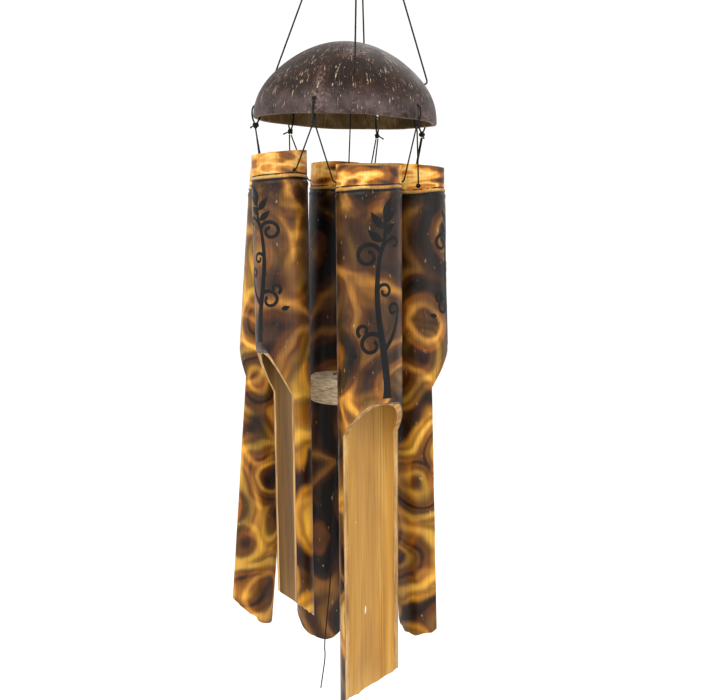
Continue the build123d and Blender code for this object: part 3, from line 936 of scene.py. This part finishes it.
def spline_points(route):
    """Points along the smooth NURBS line whose control points are the route."""
    data = bpy.data.curves.new("route", "CURVE")
    data.dimensions = "3D"
    spline = data.splines.new("NURBS")
    spline.points.add(len(route) - 1)
    for point, place in zip(spline.points, route):
        point.co = (*place, 1.0)
    spline.order_u = 3
    spline.use_endpoint_u = True
    spline.resolution_u = 24
    holder = bpy.data.objects.new("route", data)
    line = bpy.data.meshes.new_from_object(holder)
    points = np.array([vertex.co for vertex in line.vertices])
    bpy.data.objects.remove(holder)
    bpy.data.meshes.remove(line)
    return points


def evenly_spaced(points, step):
    runs = np.linalg.norm(np.diff(points, axis=0), axis=1)
    points = points[np.concatenate([[True], runs > 1e-7])]
    reach = np.concatenate([[0], np.cumsum(np.linalg.norm(np.diff(points, axis=0), axis=1))])
    count = max(6, int(reach[-1] / step))
    stations = np.linspace(0, reach[-1], count)
    return np.stack([np.interp(stations, reach, points[:, axis]) for axis in range(3)], axis=1), stations


def twisted_cord(points, diameter, swell=None):
    """A three-ply cord along these points: (vertices, faces). swell widens it by share of its length."""
    lay = 3.4 * diameter
    sides = 15
    centres, stations = evenly_spaced(np.asarray(points), lay / 11)
    along = np.gradient(centres, axis=0)
    along /= np.linalg.norm(along, axis=1)[:, None]
    start = np.cross(along[0], [0.3, 0.9, 0.2])
    normal = start / np.linalg.norm(start)
    turns = np.linspace(0, 2 * math.pi, sides, endpoint=False)
    verts = []
    for index, (centre, direction) in enumerate(zip(centres, along)):
        normal = normal - direction * normal.dot(direction)
        normal /= np.linalg.norm(normal)
        across = np.cross(direction, normal)
        twist = 2 * math.pi * stations[index] / lay
        lobes = 0.72 + 0.28 * np.abs(np.sin(1.5 * (turns - twist)))
        radii = diameter / 2 * lobes * (swell(stations[index] / stations[-1]) if swell else 1)
        verts.append(centre + np.outer(radii * np.cos(turns), normal)
                     + np.outer(radii * np.sin(turns), across))
    verts = np.concatenate(verts)
    return verts, grid_faces(len(centres), sides, True) + end_caps(len(verts), sides)


def knot_line(centre, diameter, axis, turn=0.0):
    """The closed line of a tight overhand-like knot of this overall diameter."""
    thickness = diameter * 0.34
    small = diameter * 0.15
    large = 0.56 * diameter - small - thickness / 2
    share = np.linspace(0, 2 * math.pi, 90)
    reach = large + small * np.cos(3 * share)
    local = np.stack([reach * np.cos(2 * share + turn), reach * np.sin(2 * share + turn),
                      1.5 * small * np.sin(3 * share)], axis=1)
    spin = np.array(Vector(axis).to_track_quat("Z", "Y").to_matrix())
    return local @ spin.T + np.array(centre)


def knot(centre, diameter, axis, turn=0.0):
    return twisted_cord(knot_line(centre, diameter, axis, turn), diameter * KNOT_CORD_SHARE)


def tag_end(centre, direction, length, cord):
    """The short free end that sticks out of a knot, fraying a little."""
    direction = Vector(direction).normalized()
    droop = Vector((0, 0, -0.18 * length))
    route = [Vector(centre), Vector(centre) + direction * length * 0.5,
             Vector(centre) + direction * length + droop]
    return twisted_cord(spline_points(route), cord * 0.85,
                        swell=lambda share: 1 + 0.35 * max(0, share - 0.8) / 0.2)


def cord_piece(name, parts, body, *nodes):
    verts, faces = joined(parts)
    piece = make_mesh(name, verts, faces)
    add_attribute(piece, "grain", "FLOAT_VECTOR", verts)
    piece.data.materials.append(CORD_MATERIAL)
    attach(piece, body)
    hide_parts(*nodes)
    return piece


def black_cord():
    """Waxed black twisted cord with brown dust in its creases."""
    shader = Shader("black_cord")
    grain = shader.attribute("grain", "Vector")
    fuzz = shader.noise(grain, 2600.0, 4.0)
    colour = shader.ramp(fuzz, [(0.3, srgb(5, 5, 5)), (0.55, srgb(14, 13, 12)), (0.75, srgb(44, 39, 34))])
    shader.set(base=colour, roughness=0.72, normal=shader.bump(fuzz, 0.5, 0.0002), sheen_weight=0.1,
               specular_ior_level=0.2)
    return shader.material


def suspension_cord(first, second, crossing_z):
    """From the top knot, in through one leg hole, over the crossing, out and back up to the knot."""
    top = Vector((0, 0, TOP_KNOT_Z))
    hole_z = RIM_Z + LEG_HOLE_HEIGHT
    outside = dome_radius(LEG_HOLE_HEIGHT, 0) + 1.6 * MM
    inside = dome_radius(LEG_HOLE_HEIGHT, SHELL_WALL) - 2 * MM
    crossing = Vector((CLAPPER_X, 0, crossing_z))
    near = 7 * MM
    halves = []
    for side in (first, second):
        corner = around(LEG_HOLE_ANGLES[side], outside, hole_z)
        mouth = around(LEG_HOLE_ANGLES[side], inside, hole_z)
        halves.append([step_from(top, corner, TOP_KNOT / 2), step_from(corner, top, near), corner, mouth,
                       step_from(mouth, crossing, near)])
    route = halves[0] + [crossing] + halves[1][::-1]
    return twisted_cord(spline_points(route), CORD)


def rim_knot_centre(number):
    return around(RIM_ANGLES[number], SHELL_RADIUS - SHELL_WALL / 2, RIM_Z - RIM_KNOT_DROP)


def rim_loop(number):
    """Up outside the wall, in through its hole and down inside, back to the knot."""
    angle = RIM_ANGLES[number]
    centre = rim_knot_centre(number)
    outer = SHELL_RADIUS + 1.1 * MM
    inner = SHELL_RADIUS - SHELL_WALL - 1.25 * MM
    low, high = RIM_Z + 0.5 * MM, RIM_Z + RIM_HOLE_HEIGHT
    corners = [around(angle, outer, low), around(angle, outer - 0.3 * MM, high),
               around(angle, inner - 0.9 * MM, high), around(angle, inner, low)]
    ends = [step_from(centre, corners[0], RIM_KNOT / 3), step_from(centre, corners[3], RIM_KNOT / 3)]
    return twisted_cord(spline_points([ends[0], *corners, ends[1]]), CORD)


def make_strands(tube):
    """The two strands from the rim knots to the cord holes, and the stop knots inside the cup."""
    place = tube_matrix(tube)
    body = f"strands_{tube.name}"
    share = tube.cup / (tube.cup + tube.length)
    outer = tube.top_radius + (tube.foot_radius - tube.top_radius) * share
    stops = []
    for side, word in ((-1, "left"), (1, "right")):
        number = tube.rim_knots[0 if side < 0 else 1] - 1
        start = (rim_knot_centre(number) - Vector((0, 0, RIM_KNOT / 2 + 0.3 * MM))
                 - sideways(RIM_ANGLES[number]) * side * STRAND_SPREAD)
        beside = place @ Vector((side * (outer + 1.1 * MM), 0, 0))
        inside = place @ Vector((side * (outer - TUBE_WALL - 0.4 * MM), 0, 0))
        route = [start, step_from(beside, start, 5 * MM), beside, inside]
        node = f"strand_{word}_{tube.name}"
        cord_piece(f"{node}_cord", [twisted_cord(spline_points(route), FINE_CORD)], body, node)
        reach = outer - TUBE_WALL - 0.4 * MM - HOLE_KNOT / 2
        centre = place @ Vector((side * reach, 0, 0))
        through = place.to_3x3() @ Vector((side, 0, 0))
        stops.append(knot(centre, HOLE_KNOT, through, tube.seed + side))
        droop = place.to_3x3() @ Vector((-0.75 * side, 0.3, 0.25))
        stops.append(tag_end(centre, droop, 4.0 * MM, FINE_CORD))
    cord_piece(f"hole_knots_{tube.name}_cord", stops, body, f"hole_knots_{tube.name}")


def make_hanging_cords():
    loop_top = RING_BOTTOM_Z + LOOP_BEND
    loop_low = RING_BOTTOM_Z - LOOP_LENGTH
    rising = [(0.6 * MM, TOP_KNOT_Z + TOP_KNOT / 2), (LOOP_BEND, loop_low),
              (LOOP_BEND, RING_BOTTOM_Z - 4 * MM), (LOOP_BEND, loop_top)]
    route = [(0, -y, z) for y, z in rising] + [(0, y, z) for y, z in rising[::-1]]
    cord_piece("top_loop_cord", [twisted_cord(spline_points(route), LOOP_CORD)], "loop", "top_loop")
    top = (0, 0, TOP_KNOT_Z)
    parts = [knot(top, TOP_KNOT, (0.2, 1, 0.3)), knot(top, TOP_KNOT * 0.8, (1, 0.1, 0.4), 0.7)]
    parts.append(tag_end(top, (0.8, -0.5, 0.1), 8 * MM, CORD))
    parts.append(tag_end(top, (-0.7, 0.6, 0.3), 7 * MM, CORD))
    cord_piece("top_knot_cord", parts, "knot", "top_knot")
    for sides, z in ((("left", "right"), CROSSING_Z), (("front", "back"), CROSSING_Z + 1.4 * MM)):
        node = "suspension_cord_side" if sides[0] == "left" else "suspension_cord_front"
        cord_piece(f"{node}_cord", [suspension_cord(*sides, z)], "canopy", node)
    random = np.random.default_rng(SEED)
    for number, angle in enumerate(RIM_ANGLES):
        cord_piece(f"rim_loop_{number + 1}_cord", [rim_loop(number)], "canopy", f"rim_loop_{number + 1}")
        centre = rim_knot_centre(number)
        away = around(angle, 1, 0) - around(angle, 0, 0)
        lean = sideways(angle) * random.choice([-1, 1]) * random.uniform(0.5, 1.0)
        parts = [knot(centre, RIM_KNOT, sideways(angle), random.uniform(0, 6)),
                 knot(centre, RIM_KNOT * 0.8, (0.2, 0.1, 1), random.uniform(0, 6)),
                 tag_end(centre, away * 0.7 + lean + Vector((0, 0, -0.25)), 5.2 * MM, CORD)]
        cord_piece(f"rim_knot_{number + 1}_cord", parts, "canopy", f"rim_knot_{number + 1}")


# ---- clapper ----
def make_clapper(wood):
    turn = np.linspace(0, 2 * math.pi, 49)
    loop_z = CROSSING_Z + CORD / 2 + 0.05 * MM
    reach = HITCH_LOOP_RADIUS * math.sqrt(0.5)
    ring = np.stack([CLAPPER_X + reach * np.cos(turn), reach * np.cos(turn),
                     loop_z + HITCH_LOOP_RADIUS * np.sin(turn)], axis=1)
    centre = (CLAPPER_X, 0, HITCH_KNOT_Z)
    parts = [twisted_cord(ring, CLAPPER_CORD), knot(centre, HITCH_KNOT, (1, 1, 0.2)),
             tag_end(centre, (-1, -0.3, -0.2), 5 * MM, CLAPPER_CORD)]
    cord_piece("clapper_hitch_cord", parts, "hitch", "clapper_hitch")
    straight = [(CLAPPER_X, 0, CLAPPER_CORD_TOP), (CLAPPER_X, 0, DISC_TOP_Z - DISC_THICKNESS)]
    cord_piece("clapper_cord_line", [twisted_cord(straight, CLAPPER_CORD)], "clapper", "clapper_cord")
    above = (CLAPPER_X, 0, DISC_TOP_Z + DISC_KNOT / 2)
    parts = [knot(above, DISC_KNOT, (0, 0, 1)), tag_end(above, (-1, -0.4, -0.1), 6 * MM, CLAPPER_CORD)]
    cord_piece("clapper_upper_knot_cord", parts, "clapper", "clapper_upper_knot")
    below = (CLAPPER_X, 0, LOWER_KNOT_Z)
    cord_piece("clapper_lower_knot_cord", [knot(below, DISC_KNOT, (0.3, 0.2, 1))], "tail_knot",
               "clapper_lower_knot")
    route = [tuple(value * MM for value in point) for point in [TAIL_TOP] + TAIL_ROUTE]
    line = spline_points(route)
    tail = cord_piece("clapper_tail_cord", [twisted_cord(line, CLAPPER_CORD)], "tail", "clapper_tail")
    make_disc(wood)


def make_disc(wood):
    """The turned striker: rounded edges, faint tool lines and a bore."""
    edge = 2.2 * MM
    columns = 96
    half = DISC_THICKNESS / 2
    profile = [(DISC_BORE / 2, -half + 0.4 * MM), (DISC_BORE / 2 + 0.4 * MM, -half)]
    profile += [(reach, -half) for reach in np.linspace(4, 19, 9) * MM]
    for step in range(9):
        angle = math.radians(-90 + 90 * step / 8)
        profile.append((DISC_RADIUS - edge + edge * math.cos(angle), -half + edge + edge * math.sin(angle)))
    profile += [(DISC_RADIUS, z) for z in np.linspace(-half + 3 * MM, half - 3 * MM, 14)]
    for step in range(9):
        angle = math.radians(90 * step / 8)
        profile.append((DISC_RADIUS - edge + edge * math.cos(angle), half - edge + edge * math.sin(angle)))
    profile += [(reach, half) for reach in np.linspace(19, 4, 9) * MM]
    profile += [(DISC_BORE / 2 + 0.4 * MM, half), (DISC_BORE / 2, half - 0.4 * MM)]
    profile += [(DISC_BORE / 2, z) for z in np.linspace(half - 2 * MM, -half + 2 * MM, 6)]
    angles = np.linspace(0, 2 * math.pi, columns, endpoint=False)
    rings = []
    for row, (reach, z) in enumerate(profile):
        uneven = 0.10 * MM * np.sin(3 * angles + 0.6) + 0.05 * MM * math.sin(2.4 * row)
        radii = reach + uneven * min(1.0, reach / DISC_RADIUS)
        rings.append(np.stack([CLAPPER_X + radii * np.cos(angles), radii * np.sin(angles),
                               np.full(columns, DISC_TOP_Z - half + z)], axis=1))
    verts = np.concatenate(rings)
    faces = [tuple(corner % len(verts) for corner in face)
             for face in grid_faces(len(rings) + 1, columns, True)]
    disc = make_mesh("clapper_disc_wood", verts, faces)
    add_attribute(disc, "grain", "FLOAT_VECTOR", verts)
    disc.data.materials.append(wood)
    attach(disc, "clapper")
    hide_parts("clapper_disc")


def pale_wood():
    """Raw pale hardwood: growth rings through it, fine pores, handled edges."""
    shader = Shader("pale_wood")
    grain = shader.attribute("grain", "Vector")
    tilted = shader.vector("ADD", shader.vector("MULTIPLY", grain, (1.0, 0.12, 0.9)), (0.05, 0.31, 0.33))
    wander = shader.vector("MULTIPLY", shader.noise(grain, 40.0, 2.0, colour=True), (0.004, 0.004, 0.004))
    rings = shader.stretched_noise(shader.vector("ADD", tilted, wander), (0.35, 1, 1.6), 520.0, 3.0)
    colour = shader.ramp(rings, [
        (0.3, srgb(150, 126, 96)), (0.48, srgb(196, 174, 140)), (0.7, srgb(222, 204, 176))])
    pores = shader.spread(shader.stretched_noise(grain, (1.0, 0.15, 1.0), 1800.0, 2.0), 0.60, 0.72)
    colour = shader.mix(shader.times(pores, 0.55), colour, srgb(88, 66, 44))
    soil = shader.spread(shader.noise(grain, 70.0, 3.0), 0.52, 0.75)
    colour = shader.mix(shader.times(soil, 0.25), colour, srgb(128, 104, 78))
    shader.set(base=colour, roughness=0.7, normal=shader.bump(rings, 0.25, 0.0005), specular_ior_level=0.3)
    return shader.material


# ---- coconut shell ----
def dome_radius(height, inset):
    return SHELL_RADIUS - SHELL_SIDE_RADIUS + math.sqrt((SHELL_SIDE_RADIUS - inset) ** 2 - height ** 2)


def dome_point(polar, inset):
    """(radius, height above the rim) on the dome at this many degrees from its top."""
    turn = math.radians(polar)
    if polar < CROWN_EDGE:
        reach = CROWN_RADIUS - inset
        return reach * math.sin(turn), CROWN_CENTRE + reach * math.cos(turn)
    reach = SHELL_SIDE_RADIUS - inset
    return SHELL_RADIUS - SHELL_SIDE_RADIUS + reach * math.sin(turn), reach * math.cos(turn)


def shell_waves(angles, polar, strength):
    random = np.random.default_rng(SEED + 3)
    total = np.zeros(len(angles))
    for _ in range(8):
        turns = random.integers(1, 9)
        wave = turns * angles + random.uniform(0, 6) + random.uniform(-4, 4) * polar
        total = total + np.sin(wave) / turns ** 0.5
    return strength * total * min(1.0, polar / 0.35) / 4


def make_shell(materials):
    columns = 200
    angles = np.linspace(0, 2 * math.pi, columns, endpoint=False)
    rings, sides, polars = [], [], []

    def add_ring(polar, inset, side):
        radius, height = dome_point(polar, inset)
        dent = SHOULDER_DENT * math.sin(math.pi * min(polar, 80) / 80) ** 2
        radius -= dent * math.sin(math.radians(polar))
        height -= dent * math.cos(math.radians(polar))
        radii = radius + shell_waves(angles, math.radians(polar), 0.35 * MM)
        lift = 0 * angles
        if polar > 88:
            lift = 0.25 * MM * np.sin(3 * angles + 1) + 0.2 * MM * np.sin(7 * angles)
        rings.append(np.stack([radii * np.sin(angles), -radii * np.cos(angles), height + lift], axis=1))
        sides.append(side)
        polars.append(polar)

    outer_polars = list(np.linspace(1.2, 88, 70)) + [89.2]
    for polar in outer_polars:
        add_ring(polar, 0, 0)
    for inset in (0.5 * MM, 1.2 * MM, SHELL_WALL / 2, 2.3 * MM, 3.0 * MM):
        add_ring(90, inset, 2)
    for polar in outer_polars[::-1]:
        add_ring(polar, SHELL_WALL, 1)
    verts = np.concatenate(rings)
    faces = grid_faces(len(rings), columns, True)
    tops = [dome_point(0, 0)[1], dome_point(0, SHELL_WALL)[1]]
    verts = np.concatenate([verts, [[0, 0, tops[0]], [0, 0, tops[1]]]])
    fan_ends(faces, len(rings), columns)
    shell = make_mesh("coconut_shell_husk", verts, faces)
    drills = []
    places = [(angle, LEG_HOLE_HEIGHT, LEG_HOLE) for angle in LEG_HOLE_ANGLES.values()]
    places += [(angle, RIM_HOLE_HEIGHT, RIM_HOLE) for angle in RIM_ANGLES]
    for angle, height, width in places:
        way = outwards(angle)
        middle = way * dome_radius(height, SHELL_WALL / 2) + Vector((0, 0, height))
        drills.append(rod("drill", middle - way * 8 * MM, middle + way * 8 * MM, width / 2))
    cut_away(shell, drills)
    dress_shell(shell, materials)
    shell.data.transform(Matrix.Translation((SHELL_X, 0, RIM_Z)))
    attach(shell, "canopy")
    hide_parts("coconut_shell")


def dress_shell(shell, materials):
    """Sorts faces into husk, lining and rim, and adds the attributes that the materials read."""
    points = vertex_array(shell)
    flat = np.hypot(points[:, 0], points[:, 1])
    polar = np.arctan2(flat, np.maximum(points[:, 2], 0) + 12 * MM)
    reach = np.maximum(flat, 1e-6)
    spin = np.stack([points[:, 0] / reach, points[:, 1] / reach, polar], axis=1)
    add_attribute(shell, "grain", "FLOAT_VECTOR", points)
    add_attribute(shell, "meridian", "FLOAT_VECTOR", spin)
    add_attribute(shell, "height", "FLOAT", points[:, 2])
    for material in materials:
        shell.data.materials.append(material)
    side_centre = SHELL_RADIUS - SHELL_SIDE_RADIUS
    for face in shell.data.polygons:
        depths = []
        for index in face.vertices:
            radius, height = flat[index], points[index][2]
            from_crown = math.hypot(radius, height - CROWN_CENTRE)
            from_side = math.hypot(radius - side_centre, height)
            in_crown = math.atan2(radius, height - CROWN_CENTRE) < math.radians(CROWN_EDGE)
            depths.append(CROWN_RADIUS - from_crown if in_crown else SHELL_SIDE_RADIUS - from_side)
        away = face.center.copy()
        away.z = face.center.z + 12 * MM
        facing = away.normalized().dot(face.normal)
        if max(depths) < SHOULDER_DENT + 0.6 * MM and facing > 0.4:
            face.material_index = 0
        elif min(depths) > SHELL_WALL - 0.6 * MM and facing < -0.4:
            face.material_index = 1
        else:
            face.material_index = 2
    shell.data.polygons.foreach_set("use_smooth", [True] * len(shell.data.polygons))
    shell.data.set_sharp_from_angle(angle=math.radians(40))


def shell_husk():
    """Scraped and polished coconut: dark red-brown, with cream fibres running up to the crown, and a painted
    grey sheen near the rim.
    """
    shader = Shader("shell_husk")
    grain = shader.attribute("grain", "Vector")
    meridian = shader.attribute("meridian", "Vector")
    height = shader.attribute("height")
    mottle = shader.noise(grain, 95.0, 5.0, roughness=0.65)
    colour = shader.ramp(mottle, [
        (0.30, srgb(15, 7, 4)), (0.45, srgb(28, 14, 8)), (0.58, srgb(43, 23, 14)), (0.75, srgb(64, 39, 27))])
    lines = shader.stretched_noise(meridian, (1.0, 1.0, 0.10), 46.0, 4.0, roughness=0.6)
    colour = shader.mix(shader.spread(lines, 0.50, 0.76), colour, srgb(60, 38, 28))
    streak = shader.stretched_noise(meridian, (1.0, 1.0, 0.14), 84.0, 3.0)
    breaks = shader.spread(shader.noise(grain, 120.0, 3.0), 0.46, 0.58)
    fibres = shader.times(shader.spread(streak, 0.63, 0.65), breaks)
    colour = shader.mix(fibres, colour, srgb(206, 184, 152))
    dust = shader.spread(shader.voronoi(grain, 560.0), 0.24, 0.12)
    chosen = shader.spread(shader.parts(shader.voronoi(grain, 560.0, output="Color"))[0], 0.74, 0.80)
    crowd = shader.spread(shader.noise(grain, 46.0, 2.0), 0.36, 0.60)
    dust = shader.times(shader.times(dust, chosen), crowd)
    colour = shader.mix(shader.times(dust, 0.8), colour, srgb(186, 162, 142))
    flecks = shader.stretched_noise(meridian, (1.0, 1.0, 0.55), 150.0, 2.0)
    flecks = shader.spread(flecks, 0.725, 0.76)
    colour = shader.mix(shader.times(flecks, 0.8), colour, srgb(206, 184, 160))
    scuff = shader.spread(shader.noise(shader.vector("ADD", grain, (0.21, 0.03, 0.4)), 34.0, 3.0), 0.58, 0.70)
    scuff = shader.times(scuff, shader.spread(shader.noise(grain, 500.0, 3.0), 0.42, 0.60))
    colour = shader.mix(shader.times(scuff, 0.55), colour, srgb(168, 134, 118))
    # Painted sheen: a purple-grey band from the rim up to 19 mm, full below 8 mm and stronger where the
    # mottle is high.
    painted_sheen = shader.times(shader.spread(height, 0.019, 0.008), shader.spread(mottle, 0.3, 0.8))
    colour = shader.mix(shader.times(painted_sheen, 0.75), colour, srgb(104, 90, 90))
    rough = shader.ramp(mottle, [(0.3, 0.44), (0.7, 0.62)])
    relief = shader.bump(lines, 0.35, 0.0008)
    relief = shader.bump(mottle, 0.30, 0.0007, relief)
    relief = shader.bump(fibres, 0.5, 0.0003, relief)
    shader.set(base=colour, roughness=rough, normal=relief, specular_ior_level=0.18)
    return shader.material


def shell_lining():
    """The unscraped inside: olive-tan fibre."""
    shader = Shader("shell_lining")
    grain = shader.attribute("grain", "Vector")
    meridian = shader.attribute("meridian", "Vector")
    lines = shader.stretched_noise(meridian, (1.0, 1.0, 0.2), 60.0, 4.0)
    patch = shader.noise(grain, 60.0, 4.0)
    colour = shader.ramp(patch, [
        (0.3, srgb(70, 56, 34)), (0.5, srgb(112, 92, 58)), (0.7, srgb(146, 124, 84))])
    colour = shader.mix(shader.spread(lines, 0.5, 0.75), colour, srgb(74, 56, 34))
    shader.set(base=colour, roughness=0.85, normal=shader.bump(lines, 0.5, 0.0008), specular_ior_level=0.2)
    return shader.material


def shell_rim():
    """The sawn edge: grey-brown, with short dark fibres."""
    shader = Shader("shell_rim")
    grain = shader.attribute("grain", "Vector")
    tone = shader.noise(grain, 320.0, 4.0)
    colour = shader.ramp(tone, [
        (0.3, srgb(74, 58, 46)), (0.55, srgb(128, 110, 94)), (0.72, srgb(166, 150, 132))])
    shader.set(base=colour, roughness=0.75, normal=shader.bump(tone, 0.4, 0.0005), specular_ior_level=0.25)
    return shader.material


def brushed_steel():
    """Bright wire with faint drawn lines."""
    shader = Shader("ring_steel")
    place = shader.tree.nodes.new("ShaderNodeTexCoord").outputs["Object"]
    lines = shader.stretched_noise(place, (1.0, 6.0, 1.0), 900.0, 3.0)
    spots = shader.noise(place, 260.0, 3.0)
    colour = shader.ramp(spots, [
        (0.35, srgb(150, 150, 150)), (0.6, srgb(196, 196, 194)), (0.8, srgb(168, 162, 154))])
    rough = shader.ramp(lines, [(0.3, 0.22), (0.7, 0.40)])
    shader.set(base=colour, roughness=rough, metallic=1.0, normal=shader.bump(lines, 0.15, 0.0001))
    return shader.material


make_camera()
make_light("key", (-0.9, -1.3, 0.7), 1.1, 21)
make_light("fill", (1.3, -1.1, 0.1), 1.3, 7)
make_light("back", (0.4, 1.3, 0.7), 1.0, 8)
world = bpy.data.worlds.new("world")
world.use_nodes = True
world.node_tree.nodes["Background"].inputs["Color"].default_value = (1, 1, 1, 1)
world.node_tree.nodes["Background"].inputs["Strength"].default_value = 1.0
bpy.context.scene.world = world
bpy.context.scene.view_settings.view_transform = "Standard"
make_stage()

bamboo_materials = [bamboo_skin(), bamboo_flesh(), bamboo_cut()]
paint_material = paint()
CORD_MATERIAL = black_cord()
make_hanging_cords()
make_clapper(pale_wood())
make_shell([shell_husk(), shell_lining(), shell_rim()])
ring = frame["nodes"]["hanging_ring"]
ring.data.materials.clear()
ring.data.materials.append(brushed_steel())
for one_tube in TUBES:
    make_tube(one_tube, bamboo_materials)
    make_tree(one_tube, paint_material)
    make_strands(one_tube)
